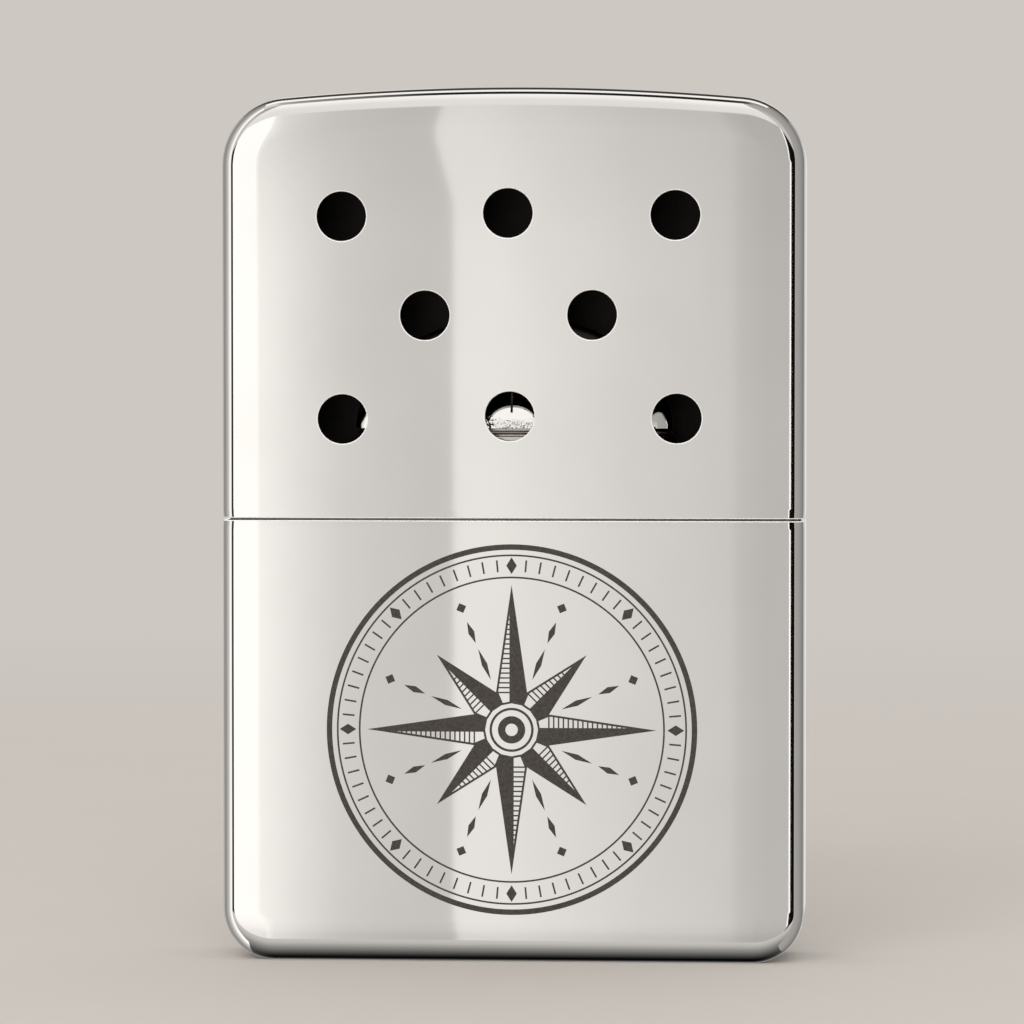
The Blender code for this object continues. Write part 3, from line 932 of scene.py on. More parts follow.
@dataclass
class CapShell(DrawnShell):
    """The lift-off cap, with a crowned top and eight vents in its front."""

    lip: float = 50.3 * MM
    top: float = 99.0 * MM
    corner: float = 7.6 * MM
    corner_x: float = 25.4 * MM
    corner_z: float = 90.255 * MM
    crown: float = 290.0 * MM
    lean: float = math.radians(5.16)
    crown_steps: int = 32
    vent_radius: float = 2.8 * MM
    vent_edge: float = 0.14 * MM
    vent_sides: int = 72
    vent_lead: float = 0.004 * MM
    flare_steps: int = 6
    vent_places: tuple[tuple[float, float], ...] = (
        (-19.34, 84.43), (-0.48, 84.77), (18.42, 84.52), (-9.88, 73.25), (9.04, 73.28),
        (-19.24, 61.53), (-0.28, 61.85), (18.6, 61.62),
    )

    @property
    def up(self) -> float:
        """The cap reaches up from its lip."""
        return 1.0

    def outline(self) -> Piece:
        """Draws up the left side, over the crown and down the right side.

        Returns:
            The filled outline, in edit mode.
        """
        pen = Scriber(self.name, -self.half_width, -self.half_depth + self.shoulder_drop, self.lip)
        pen.line_to(-self.half_width, self.corner_z)
        quarter = math.pi / 2 - self.lean
        pen.arc(-self.corner_x, self.corner_z, quarter, self.corner_steps)
        pen.arc(0.0, self.top - self.crown, 2 * self.lean, self.crown_steps)
        pen.arc(self.corner_x, self.corner_z, quarter, self.corner_steps)
        pen.line_to(self.half_width, self.lip)
        return pen.close(-self.half_width, self.lip)

    def vent_tool(self, finishes: Sequence[Material]) -> Piece:
        """Makes the cutter of all vents: a round bar that flares at the face.

        Args:
            finishes: the cap's finishes, the last one for the flare.

        Returns:
            The cutter.
        """
        face, rim = -self.half_depth, self.vent_radius + self.vent_edge
        x, z = self.vent_places[0][0] * MM, self.vent_places[0][1] * MM
        first = begin_disc("vent_tool", rim, (x, face - MM, z), self.vent_sides)
        for finish in finishes:
            first.data.materials.append(finish)
        pull((0, MM - self.vent_lead, 0))
        width, depth = rim, face - self.vent_lead
        for step in range(1, self.flare_steps + 1):
            turn = math.radians(90.0 / self.flare_steps * step)
            new_width = rim - self.vent_edge * math.sin(turn)
            new_depth = face + self.vent_edge * (1 - math.cos(turn))
            pull((0, new_depth - depth, 0))
            swell((new_width / width, 1, new_width / width), (x, new_depth, z))
            width, depth = new_width, new_depth
        pull((0, MM, 0))
        # The flare round each vent takes the last finish, the painted highlight of the rim.
        mark(first, Part.FACE, lambda c, n: face - NEAR < c.y < face + self.vent_edge)
        paint_marked(first)
        close_up(first)
        copies = [
            shifted(copied(first, f"vent_tool_{number}"), (place[0] * MM - x, 0, place[1] * MM - z))
            for number, place in enumerate(self.vent_places[1:])
        ]
        return join(first, *copies)

    def make(self) -> Piece:
        """Presses the cap, cuts its vents and dresses it.

        Returns:
            The finished cap.
        """
        # The inner wall's finish is painted shade, near black; the last finish, on the lip and round the vents, is a
        # painted highlight, near white.
        piece = self.form(SHELL_FINISH, CAP_INSIDE_SHADE_FINISH, RIM_HIGHLIGHT_FINISH)
        cut(piece, self.vent_tool(list(piece.data.materials)))
        smooth(piece)
        return fit_out(piece, Body.CAP, self.slot, "cap_shell")


@dataclass
class TankShell(DrawnShell):
    """The lower half of the case, which holds the fuel."""

    lip: float = 50.07 * MM
    corner: float = 5.9 * MM
    base_roll: float = 2.5 * MM
    base_shoulder: float = 2.4 * MM
    row_reach: float = 0.0006 * MM

    @property
    def up(self) -> float:
        """The tank reaches down from its lip."""
        return -1.0

    def outline(self) -> Piece:
        """Draws down the left side, along the base and up the right side.

        Returns:
            The filled outline, in edit mode.
        """
        side, corner_x = self.half_width, self.half_width - self.corner
        pen = Scriber(self.name, -side, -self.half_depth + self.shoulder_drop, self.lip)
        pen.line_to(-side, self.corner)
        pen.arc(-corner_x, self.corner, -math.pi / 2, self.corner_steps)
        pen.line_to(corner_x, 0.0)
        pen.arc(corner_x, self.corner, -math.pi / 2, self.corner_steps)
        pen.line_to(side, self.lip)
        return pen.close(-side, self.lip)

    def shape_end(self, piece: Piece, front: float) -> None:
        """Draws the roll of the base up, row by row, to its greater height.

        Args:
            piece: the shell, in edit mode.
            front: where the front's rim is.
        """
        near = self.row_reach
        rows = []
        for row in range(1, self.roll_steps + 1):
            turn = math.pi / 2 * row / self.roll_steps
            share = 1 - math.cos(turn)
            rows.append((front + self.roll * (1 - math.sin(turn)), self.roll * share, self.base_roll * share))
        for ring in range(1, self.shoulder_rings + 1):
            share = ring / self.shoulder_rings
            inset = self.roll + self.shoulder_width * share
            wanted = self.base_roll + self.base_shoulder * share
            rows.append((front - self.ring_rise(ring), inset, wanted))
        for depth, inset, wanted in rows:
            mark(piece, Part.VERT, lambda p: abs(p.y - depth) < near and p.z < self.corner - near)
            swell((1, 1, (self.corner - wanted) / (self.corner - inset)), (0, 0, self.corner))

    def make(self) -> Piece:
        """Presses the tank and dresses it.

        Returns:
            The finished tank.
        """
        # The lip's finish is a painted highlight, near white.
        piece = self.form(SHELL_FINISH, RIM_HIGHLIGHT_FINISH)
        smooth(piece)
        return fit_out(piece, Body.TANK, self.slot, "tank_shell")


# Parts that run round the middle: tubes, plates and rings.


@dataclass(frozen=True)
class Oblong:
    """Plan of a part that runs round the middle: half width, half depth and corner radius."""

    half_width: float
    half_depth: float
    corner: float

    def grown(self, by: float) -> "Oblong":
        """Gives the plan that lies this far outside."""
        return Oblong(self.half_width + by, self.half_depth + by, self.corner + by)

    def lay(self, name: str, level: float, steps: int = 10) -> Piece:
        """Lays the plan down as one flat face.

        Args:
            name: the object's name.
            level: its height.
            steps: how many straight pieces a corner has.

        Returns:
            The object, in edit mode and selected all over.
        """
        piece = begin_plane(name, self.half_width, self.half_depth, level)
        bpy.ops.mesh.bevel(offset=self.corner, affect="VERTICES", segments=steps, profile=0.5)
        mark_all()
        bpy.ops.mesh.remove_doubles(threshold=0.005 * MM)
        mark_all()
        return piece

    def block(self, name: str, low: float, high: float, steps: int = 10) -> Piece:
        """Builds a solid of this plan.

        Args:
            name: the object's name.
            low: its lowest height.
            high: its highest height.
            steps: how many straight pieces a corner has.

        Returns:
            The object, closed.
        """
        piece = self.lay(name, low, steps)
        pull((0, 0, high - low))
        close_up(piece)
        return piece

    def tube(self, name: str, low: float, high: float, wall: float, edge: float, steps: int = 10) -> Piece:
        """Builds a tube of this outer plan with rounded rims.

        Args:
            name: the object's name.
            low: its lowest height.
            high: its highest height.
            wall: its wall thickness, inwards.
            edge: the rounding of its rims.
            steps: how many straight pieces a corner has.

        Returns:
            The object, closed.
        """
        piece = self.lay(name, low, steps)
        bpy.ops.mesh.delete(type="ONLY_FACE")
        bpy.ops.mesh.select_mode(type="EDGE")
        mark_all()
        pull((0, 0, high - low))
        close_up(piece)
        give_wall(piece, wall)
        edit(piece)
        mark(piece, Part.EDGE, lambda a, b: abs(a.z - b.z) < NEAR and min(abs(a.z - low), abs(a.z - high)) < NEAR)
        rims = bmesh.from_edit_mesh(piece.data)
        for line in rims.edges:
            level = [abs(face.normal.z) > 0.9 for face in line.link_faces]
            line.select_set(line.select and len(level) == 2 and level[0] != level[1])
        bmesh.update_edit_mesh(piece.data)
        round_off(edge, 3)
        close_up(piece, outwards=False)
        return piece


@dataclass
class TankMouth:
    """What fills the mouth of the tank: collar, deck and filler neck."""

    collar: Oblong = Oblong(32.2 * MM, 6.2 * MM, 0.9 * MM)
    collar_low: float = 41.8 * MM
    collar_high: float = 58.0 * MM
    collar_wall: float = 0.5 * MM
    collar_edge: float = 0.18 * MM
    dimple_x: float = 19.96 * MM
    dimple_z: float = 53.9 * MM
    dimple_radius: float = 0.9 * MM
    dimple_height: float = 0.2 * MM
    dimple_root: float = 0.1 * MM
    dimple_steps: int = 7
    deck: Oblong = Oblong(31.4 * MM, 5.4 * MM, 0.9 * MM)
    deck_low: float = 55.0 * MM
    deck_top: float = 56.9 * MM
    deck_wall: float = 0.5 * MM
    deck_edge: float = 0.1 * MM
    deck_sink: float = 0.12 * MM
    rib_width: float = 0.45 * MM
    rib_rise: float = 0.25 * MM
    neck: Oblong = Oblong(15.0 * MM, 3.1 * MM, 3.1 * MM)
    neck_low: float = 54.9 * MM
    neck_high: float = 61.0 * MM
    neck_wall: float = 0.4 * MM
    neck_edge: float = 0.14 * MM
    flange_low: float = 55.8 * MM
    flange_high: float = 56.2 * MM
    flange_reach: float = 1.2 * MM
    flange_edge: float = 0.12 * MM
    fit_gap: float = 0.3 * MM

    def dimple(self, x_side: int, y_side: int) -> Piece:
        """Domes one round detent dimple on the collar.

        Args:
            x_side: 1 for the right, -1 for the left.
            y_side: 1 for the front, -1 for the back.

        Returns:
            The dimple.
        """
        front = -self.collar.half_depth + self.dimple_root
        place = (self.dimple_x, front, self.dimple_z)
        piece = begin_disc("dimple", self.dimple_radius, place, 32)
        width, depth = self.dimple_radius, 0.0
        for step in range(1, self.dimple_steps):
            share = step / self.dimple_steps
            new_width = self.dimple_radius * (1 - share)
            bulge = 0.5 - 0.5 * math.cos(math.pi * min(1.0, share * 1.25))
            new_depth = (self.dimple_height + self.dimple_root) * bulge
            bpy.ops.mesh.inset(thickness=width - new_width, depth=new_depth - depth)
            width, depth = new_width, new_depth
        mark(piece, Part.EDGE, lambda a, b: min(a.y, b.y) > front - 1e-6)
        bpy.ops.mesh.edge_face_add()
        mark_all()
        swell((x_side, y_side, 1), (0, 0, 0))
        close_up(piece)
        return piece

    def make_collar(self) -> Piece:
        """Draws the collar and presses its four dimples.

        Returns:
            The collar.
        """
        piece = self.collar.tube("collar", self.collar_low, self.collar_high, self.collar_wall, self.collar_edge)
        dimples = [self.dimple(x_side, y_side) for x_side in (1, -1) for y_side in (1, -1)]
        cut(piece, join(*dimples), "UNION")
        # The collar's dark finish is painted shade in the seam gap.
        dress(piece, COLLAR_SHADE_FINISH.make())
        return fit_out(piece, Body.TANK, "drawn_steel", "guide_collar")

    def make_deck(self) -> Piece:
        """Presses the deck: a shallow tray with a raised bead round the hole of the neck.

        Returns:
            The deck.
        """
        wall, top = self.deck_wall, self.deck_top
        piece = self.deck.tube("deck", self.deck_low, top, wall, self.deck_edge)
        cut(piece, self.deck.grown(-wall * 0.45).block("deck_plate", top - wall, top - self.deck_sink), "UNION")
        rib = self.neck.grown(self.fit_gap + self.rib_width)
        rib_edge = self.rib_rise * 0.9
        cut(piece, rib.tube("deck_rib", top - wall * 0.5, top + self.rib_rise, self.rib_width, rib_edge, 16), "UNION")
        cut(piece, self.neck.grown(self.fit_gap).block("neck_hole", self.deck_low - MM, top + MM, 16))
        ease_edges(piece, self.deck_sink, 3, 60.0)
        dress(piece, DRAWN_FINISH.make())
        return fit_out(piece, Body.TANK, "drawn_steel", "tank_deck")

    def make_neck(self) -> Piece:
        """Draws the filler neck and its flange.

        Returns:
            The neck.
        """
        piece = self.neck.tube(
            "filler_neck_tube", self.neck_low, self.neck_high, self.neck_wall, self.neck_edge, 20
        )
        flange = self.neck.grown(self.flange_reach).tube(
            "neck_flange", self.flange_low, self.flange_high, self.flange_reach + 0.2 * MM, self.flange_edge, 20
        )
        cut(piece, flange, "UNION")
        dress(piece, DRAWN_FINISH.make())
        return fit_out(piece, Body.TANK, "drawn_steel", "filler_neck")

    def make(self) -> None:
        """Builds the mouth of the tank."""
        self.make_collar()
        self.make_deck()
        self.make_neck()


@dataclass
class Filling:
    """The soft filling of the tank: a felt pad on five packed wads of cotton."""

    wads: int = 5
    felt_edge: float = 0.7 * MM
    wad_edge: float = 2.2 * MM
    swell_depth: float = 0.35 * MM
    voxel: float = 0.85 * MM
    lump_width: float = 2.6 * MM

    def pad(self, node: str, edge: float, lump: float, seed: float) -> Piece:
        """Packs one soft pad into the room of a CAD node.

        Args:
            node: the CAD node that it stands for.
            edge: how round its edges are.
            lump: how deep its lumps go.
            seed: where its lumps are taken from.

        Returns:
            The pad.
        """
        low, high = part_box(node)
        inset = lump * 0.6
        half_x, half_y = high.x - inset, high.y - inset
        piece = begin_plane(f"{node}_pad", half_x, half_y, low.z + inset)
        bpy.ops.mesh.bevel(offset=edge, affect="VERTICES", segments=5)
        mark_all()
        pull((0, 0, high.z - low.z - 2 * inset))
        mark(piece, Part.FACE, lambda c, n: abs(n.z) > 0.9)
        bpy.ops.mesh.inset(thickness=edge * 0.7)
        close_up(piece)
        soften(piece, self.voxel, 0.6, 6)
        self.ruffle(piece, lump, seed)
        return piece

    def ruffle(self, piece: Piece, lump: float, seed: float) -> None:
        """Raises soft lumps on a pad.

        Args:
            piece: the pad.
            lump: how deep the lumps go.
            seed: where the lumps are taken from.
        """
        pattern = bpy.data.textures.new(f"{piece.name}_lumps", "CLOUDS")
        pattern.noise_scale = self.lump_width
        pattern.noise_depth = 2
        shift = bpy.data.objects.new(f"{piece.name}_shift", None)
        shift.location = (0, seed * 0.05, seed * 0.03)
        bpy.context.scene.collection.objects.link(shift)
        bpy.context.view_layer.update()
        finish_with(
            piece, "DISPLACE", texture=pattern, texture_coords="OBJECT", texture_coords_object=shift,
            strength=lump, mid_level=0.75,
        )
        bpy.data.objects.remove(shift)
        bpy.data.textures.remove(pattern)

    def make(self) -> None:
        """Builds the felt and the wads."""
        felt = self.pad("wick_felt", self.felt_edge, self.swell_depth * 0.4, 1.0)
        dress(felt, FELT_FINISH.make(), 180.0, False)
        fit_out(felt, Body.TANK, "wool_felt", "wick_felt")
        cotton = COTTON_FINISH.make()
        for number in range(1, self.wads + 1):
            node = f"cotton_wad_{number}"
            wad = self.pad(node, self.wad_edge, self.swell_depth, 2.0 + number)
            dress(wad, cotton, 180.0, False)
            fit_out(wad, Body.TANK, "packed_cotton", node)


@dataclass
class Burner:
    """The burner that stands over the neck: base, bead, arched cover, gauze and catalyst mat."""

    base: Oblong = Oblong(18.4 * MM, 5.2 * MM, 4.0 * MM)
    base_low: float = 57.3 * MM
    base_top: float = 59.55 * MM
    base_edge: float = 0.16 * MM
    wall: float = 0.4 * MM
    socket: Oblong = Oblong(16.8 * MM, 3.8 * MM, 3.8 * MM)
    fit_gap: float = 0.3 * MM
    bead: Oblong = Oblong(18.0 * MM, 4.8 * MM, 3.6 * MM)
    bead_low: float = 59.75 * MM
    bead_high: float = 60.16 * MM
    bead_width: float = 0.7 * MM
    cover_lip: float = 60.45 * MM
    cover_rise: float = 12.75 * MM
    cover_roll: float = 1.4 * MM
    roll_stretch: float = 3.2
    windows: tuple[float, ...] = (-10.4, -5.2, 0.0, 5.2, 10.4)
    window_low: float = 4.5 * MM
    window_width: float = 3.8 * MM
    window_depth: float = 3.84 * MM
    window_corner: float = 0.8 * MM
    slit_width: float = 0.26 * MM
    slit_reach: float = 1.6 * MM
    slit_sink: float = 0.8 * MM
    slit_shift: float = -0.22 * MM
    slit_low: float = 62.22 * MM
    slit_high: float = 64.5 * MM
    lean_start: float = 60.9 * MM
    lean_rise: float = 3.6 * MM
    lean_depth: float = 1.13 * MM
    lean_rows: int = 8
    mat_clearance: float = 0.35 * MM
    mat_gap: float = 0.12 * MM
    mat_lift: float = 0.05 * MM
    mat_drop: float = 0.1 * MM
    mat_edge: float = 1.5 * MM
    mat_voxel: float = 0.3 * MM
    mat_lump: float = 0.16 * MM
    screen_inset: float = 0.75 * MM
    screen_play: float = 0.3 * MM
    screen_drop: float = 0.1 * MM
    screen_half_width: float = 1.86 * MM
    screen_low: float = 62.35 * MM
    screen_rows: int = 22
    wire: float = 0.09 * MM

    def arch(self, name: str, inset: float, half_depth: float, low: float, steps: int) -> Piece:
        """Draws the arch of the cover and fills it.

        Args:
            name: the object's name.
            inset: how far it lies inside the cover's outline.
            half_depth: how far in front of the middle it stands.
            low: its lowest height.
            steps: how many straight pieces it has.

        Returns:
            The object, in edit mode, with one face that faces the viewer.
        """
        span, rise = self.bead.half_width - inset, self.cover_lip + self.cover_rise - inset - low
        pen = Scriber(name, -span, -half_depth, low)
        pen.arc(0.0, low, math.pi, steps)
        piece = pen.close(-span, low)
        mark_all()
        swell((1, 1, rise / span), (0, 0, low))
        mark_all()
        return piece

    def make_base(self) -> Piece:
        """Presses the base: a tray with a rolled top edge, open in its middle for the socket.

        Returns:
            The base.
        """
        piece = self.base.lay("burner_tray", self.base_low, 16)
        pull((0, 0, self.base_top - self.base_low))
        open_up(piece, lambda c, n: c.z < self.base_low + NEAR)
        close_up(piece)
        give_wall(piece, self.wall)
        edit(piece)
        mark(piece, Part.EDGE, lambda a, b: min(a.z, b.z) > self.base_top - NEAR)
        round_off(self.base_edge, 5)
        close_up(piece)
        cut(piece, self.socket.grown(self.fit_gap).block("socket_hole", self.base_low - MM, self.base_top + MM, 20))
        dress(piece, BURNER_FINISH.make())
        return fit_out(piece, Body.BURNER, "burner_plate", "burner_base")

    def make_bead(self) -> Piece:
        """Rolls the bead between the base and the cover.

        Returns:
            The bead.
        """
        edge = (self.bead_high - self.bead_low) * 0.46
        piece = self.bead.tube("burner_bead", self.bead_low, self.bead_high, self.bead_width, edge, 16)
        dress(piece, BEAD_FINISH.make(), 50.0)
        return fit_out(piece, Body.BURNER, "heated_steel", "burner_rim")

    def window_tool(self) -> Piece:
        """Makes the cutter of the crown's windows and of the slits.

        Returns:
            The cutter.
        """
        low, high = self.cover_lip + self.window_low, self.cover_lip + self.cover_rise + MM
        window = Oblong(self.window_width / 2, self.window_depth / 2, self.window_corner)
        tools = [
            shifted(window.block(f"window_{number}", low, high, 6), (x * MM, 0, 0))
            for number, x in enumerate(self.windows)
        ]
        slit = Oblong(self.slit_width / 2, self.slit_reach, 0.02 * MM)
        for side in (-1, 1):
            place = (self.slit_shift, side * (self.bead.half_depth - self.slit_sink), 0)
            tools.append(shifted(slit.block("slit", self.slit_low, self.slit_high, 2), place))
        return join(*tools)

    def make_cover(self) -> Piece:
        """Draws the arched cover and cuts its windows and slits.

        Returns:
            The cover.
        """
        piece = self.arch("burner_hood", 0.0, self.bead.half_depth, self.cover_lip, 72)
        swell((1 / self.roll_stretch, 1, 1), (0, 0, 0))
        pull((0, self.bead.half_depth, 0))
        open_up(piece, lambda c, n: c.y > -NEAR or c.z < self.cover_lip + NEAR)
        front = -self.bead.half_depth
        mark(
            piece,
            Part.EDGE,
            lambda a, b: max(a.y, b.y) < front + NEAR and max(a.z, b.z) > self.cover_lip + NEAR,
        )
        round_off(self.cover_roll, 14)
        mark_all()
        swell((self.roll_stretch, 1, 1), (0, 0, 0))
        self.lean_back(piece)
        close_up(piece)
        double_back(piece)
        give_wall(piece, self.wall)
        cut(piece, self.window_tool())
        dress(piece, HOOD_FINISH.make(), 40.0)
        return fit_out(piece, Body.BURNER, "burner_plate", "burner_cover")

    def lean_back(self, piece: Piece) -> None:
        """Leans the lower front of the cover back.

        Args:
            piece: the cover's front half, in edit mode.
        """
        high = self.lean_start + self.lean_rise
        for row in range(self.lean_rows + 1):
            slice_level(self.lean_start + self.lean_rise * row / self.lean_rows)
        mark(piece, Part.VERT, lambda p: p.z > high - 0.001 * MM)
        bpy.ops.transform.resize(
            value=(1, 1 - self.lean_depth / self.bead.half_depth, 1), center_override=(0, 0, high),
            use_proportional_edit=True, proportional_edit_falloff="LINEAR", proportional_size=self.lean_rise,
        )

    def make_screen(self) -> Piece:
        """Weaves the upper gauze: a strip of wire net bent over the mat.

        Returns:
            The gauze.
        """
        pen = Scriber("upper_screen", 0.0, -self.screen_half_width, 0.0)
        for _ in range(self.screen_rows):
            pull((0, 2 * self.screen_half_width / self.screen_rows, 0))
        span = self.bead.half_width - self.screen_inset - self.screen_play
        rise = self.cover_lip + self.cover_rise - self.screen_inset - self.screen_drop - self.screen_low
        mark_all()
        slide((-span, 0, self.screen_low))
        mark_all()
        bpy.ops.mesh.spin(steps=120, angle=-math.pi, center=(0, 0, self.screen_low), axis=(0, 1, 0))
        mark_all()
        swell((1, 1, rise / span), (0, 0, self.screen_low))
        close_up(pen.piece)
        finish_with(pen.piece, "WIREFRAME", thickness=self.wire, use_replace=True, use_boundary=True)
        dress(pen.piece, WIRE_FINISH.make(), 60.0, False)
        return fit_out(pen.piece, Body.BURNER, "gauze_steel", "upper_gauze")

    def make_mat(self) -> Piece:
        """Packs the fibrous catalyst mat under the arch.

        Returns:
            The mat.
        """
        low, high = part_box("catalyst_mat")
        inset = self.bead.half_width - high.x + self.mat_gap
        half_depth, foot = high.y - self.mat_clearance, low.z + self.mat_lift
        piece = self.arch("catalyst_pad", inset, half_depth, foot, 48)
        pull((0, 2 * half_depth, 0))
        rise = high.z - self.mat_drop - low.z
        mark_all()
        swell((1, 1, rise / (self.cover_lip + self.cover_rise - inset - low.z)), (0, 0, foot))
        close_up(piece)
        ease_edges(piece, self.mat_edge, 4, 50.0)
        soften(piece, self.mat_voxel, 0.5, 4)
        Filling().ruffle(piece, self.mat_lump, 9.0)
        dress(piece, MAT_FINISH.make(), 180.0, False)
        fit_out(piece, Body.BURNER, "glass_fibre", "catalyst_mat")
        return piece

    def make(self) -> None:
        """Builds the burner."""
        self.make_base()
        self.make_bead()
        self.make_cover()
        self.make_screen()
        self.make_mat()


@dataclass
class CompassMark:
    """The engraved mark on the tank's front: an eight-point rose in a ring of graduations."""

    centre_x: float = -0.05 * MM
    centre_z: float = 26.4 * MM
    front: float = -7.004 * MM
    depth: float = 0.03 * MM
    long_ray: float = 16.4 * MM
    short_ray: float = 12.0 * MM
    waist: float = 4.6 * MM
    hub: float = 3.0 * MM
    line: float = 0.24 * MM
    hatch: float = 0.17 * MM
    hatch_pitch: float = 0.55 * MM
    hatch_reach: float = 0.8
    hatch_length: float = 3.0 * MM
    hatch_overrun: float = 0.2 * MM
    ticks_between: int = 9
    tick_low: float = 17.9 * MM
    tick_high: float = 19.25 * MM
    tick_width: float = 0.2 * MM
    rings: tuple[tuple[float, float], ...] = ((21.0, 0.62), (19.85, 0.2), (17.35, 0.2), (2.5, 0.28), (1.55, 0.85))
    ring_lozenge: Triple = (18.58, 0.95, 0.6)
    drops: tuple[Triple, ...] = ((8.0, 1.9, 0.32), (11.9, 1.3, 0.36), (14.9, 0.6, 0.6))

    @property
    def centre(self) -> Triple:
        """The middle of the mark."""
        return (self.centre_x, self.front, self.centre_z)

    def ring(self, outer: float, width: float) -> Piece:
        """Draws one ring.

        Args:
            outer: its outer radius.
            width: how wide its line is.

        Returns:
            The ring.
        """
        piece = begin_disc("mark_ring", outer, self.centre, 144)
        bpy.ops.mesh.inset(thickness=width)
        bpy.ops.mesh.delete(type="FACE")
        take_up(piece)
        return piece

    def sheet(self, name: str, *corners: tuple[float, float]) -> Piece:
        """Cuts a flat four-cornered shape.

        Args:
            name: the object's name.
            corners: where its top, left, bottom and right corners are, from the mark's middle.

        Returns:
            The shape, in edit mode and selected all over.
        """
        piece = begin_disc(name, MM, self.centre, 4)
        starts = ((0.0, MM), (-MM, 0.0), (0.0, -MM), (MM, 0.0))
        for start, end in zip(starts, corners):
            x, z = self.centre_x + start[0], self.centre_z + start[1]
            mark(piece, Part.VERT, lambda p: math.hypot(p.x - x, p.z - z) < 0.02 * MM)
            slide((end[0] - start[0], 0, end[1] - start[1]))
        bpy.ops.mesh.select_mode(type="FACE")
        mark_all()
        return piece

    def thicken(self, piece: Piece) -> Piece:
        """Sinks flat shapes to the mark's depth.

        Args:
            piece: the shapes, with faces towards the viewer.

        Returns:
            The shapes, closed.
        """
        edit(piece)
        bpy.ops.mesh.select_mode(type="FACE")
        mark_all()
        pull((0, self.depth, 0))
        close_up(piece)
        return piece

    def half_ray(self, name: str, reach: float, side: float) -> Piece:
        """Draws one half of a ray that points up.

        Args:
            name: the object's name.
            reach: how far the ray reaches.
            side: 1 for its right half, -1 for its left half.

        Returns:
            The half, in edit mode and selected all over.
        """
        flank = (side * math.sin(math.pi / 8), math.cos(math.pi / 8))
        foot = (self.hub * flank[0], self.hub * flank[1])
        waist = (self.waist * flank[0], self.waist * flank[1])
        if side > 0:
            return self.sheet(name, (0.0, reach), (0.0, self.hub), foot, waist)
        return self.sheet(name, (0.0, reach), waist, foot, (0.0, self.hub))

    def hatch_bars(self, reach: float) -> Piece:
        """Draws the level bars that fill the light half of a ray.

        Args:
            reach: how far the ray reaches.

        Returns:
            The bars, which run past the half on both sides.
        """
        low, high = self.waist * 0.9, self.waist * 0.9 + self.hatch
        wide = self.hatch_length
        bars = self.sheet("hatching", (0.0, high), (-wide, high), (-wide, low), (0.0, low))
        slide((self.hatch_overrun, -self.depth, 0))
        pull((0, 3 * self.depth, 0))
        close_up(bars)
        count = int((reach * self.hatch_reach - low) / self.hatch_pitch)
        rows = [shifted(copied(bars, f"hatch_{row}"), (0, 0, row * self.hatch_pitch)) for row in range(1, count)]
        return join(bars, *rows)

    def ray(self, reach: float) -> Piece:
        """Draws one ray: a dark half, and a light half of outline and hatching.

        Args:
            reach: how far it reaches.

        Returns:
            The ray, at the mark's depth.
        """
        light = self.half_ray("ray_light", reach, -1.0)
        bpy.ops.mesh.inset(thickness=self.line)
        bpy.ops.mesh.separate(type="SELECTED")
        put_down()
        room = next(o for o in bpy.data.objects if o.name.startswith("ray_light") and o is not light)
        self.thicken(light)
        self.thicken(named(room, "hatch_room"))
        bars = self.hatch_bars(reach)
        cut(bars, room, "INTERSECT")
        dark = self.half_ray("ray_dark", reach, 1.0)
        take_up(dark)
        return join(self.thicken(dark), light, bars)

    def spun(self, piece: Piece, count: int, offset: float = 0.0) -> Piece:
        """Repeats a shape round the middle.

        Args:
            piece: the shape.
            count: how many there are in the end.
            offset: how far the first is turned, in radians.

        Returns:
            The shape with its copies.
        """
        edit(piece)
        mark_all()
        if offset:
            bpy.ops.transform.rotate(value=offset, orient_axis="Y", center_override=self.centre)
        turn = 2 * math.pi * (count - 1) / count
        mark_all()
        bpy.ops.mesh.spin(steps=count - 1, dupli=True, angle=turn, center=self.centre, axis=(0, 1, 0))
        take_up(piece)
        return piece

    def ticks(self) -> Piece:
        """Draws the graduations between two of the ring's lozenges.

        Returns:
            The bars.
        """
        half = self.tick_width / 2
        step = math.pi / 4 / self.ticks_between
        bars = []
        for number in range(1, self.ticks_between):
            bar = self.sheet(
                f"tick_{number}", (half, self.tick_high), (-half, self.tick_high), (-half, self.tick_low),
                (half, self.tick_low),
            )
            bpy.ops.transform.rotate(value=number * step, orient_axis="Y", center_override=self.centre)
            take_up(bar)
            bars.append(bar)
        return join(*bars)

    def lozenge(self, middle: float, half_length: float, half_width: float) -> Piece:
        """Draws one lozenge on the line that points up.

        Args:
            middle: how far its middle is from the mark's, in millimetres.
            half_length: half its length, in millimetres.
            half_width: half its width, in millimetres.

        Returns:
            The lozenge.
        """
        middle, half_length, half_width = middle * MM, half_length * MM, half_width * MM
        piece = self.sheet(
            "lozenge", (0.0, middle + half_length), (-half_width, middle), (0.0, middle - half_length),
            (half_width, middle),
        )
        take_up(piece)
        return piece

    def make(self) -> Piece:
        """Draws the whole mark and sinks it into the tank's face.

        Returns:
            The mark.
        """
        rose = join(self.spun(self.ray(self.long_ray), 4), self.spun(self.ray(self.short_ray), 4, math.pi / 4))
        flat = [self.ring(outer * MM, width * MM) for outer, width in self.rings]
        flat.append(self.spun(self.ticks(), 8))
        flat.append(self.spun(self.lozenge(*self.ring_lozenge), 8))
        flat += [self.spun(self.lozenge(*drop), 8, math.pi / 8) for drop in self.drops]
        piece = named(join(rose, self.thicken(join(*flat))), "compass_mark")
        piece.data.materials.append(MARK_FINISH.make())
        return fit_out(piece, Body.TANK, "polished_shell")


# The studio.


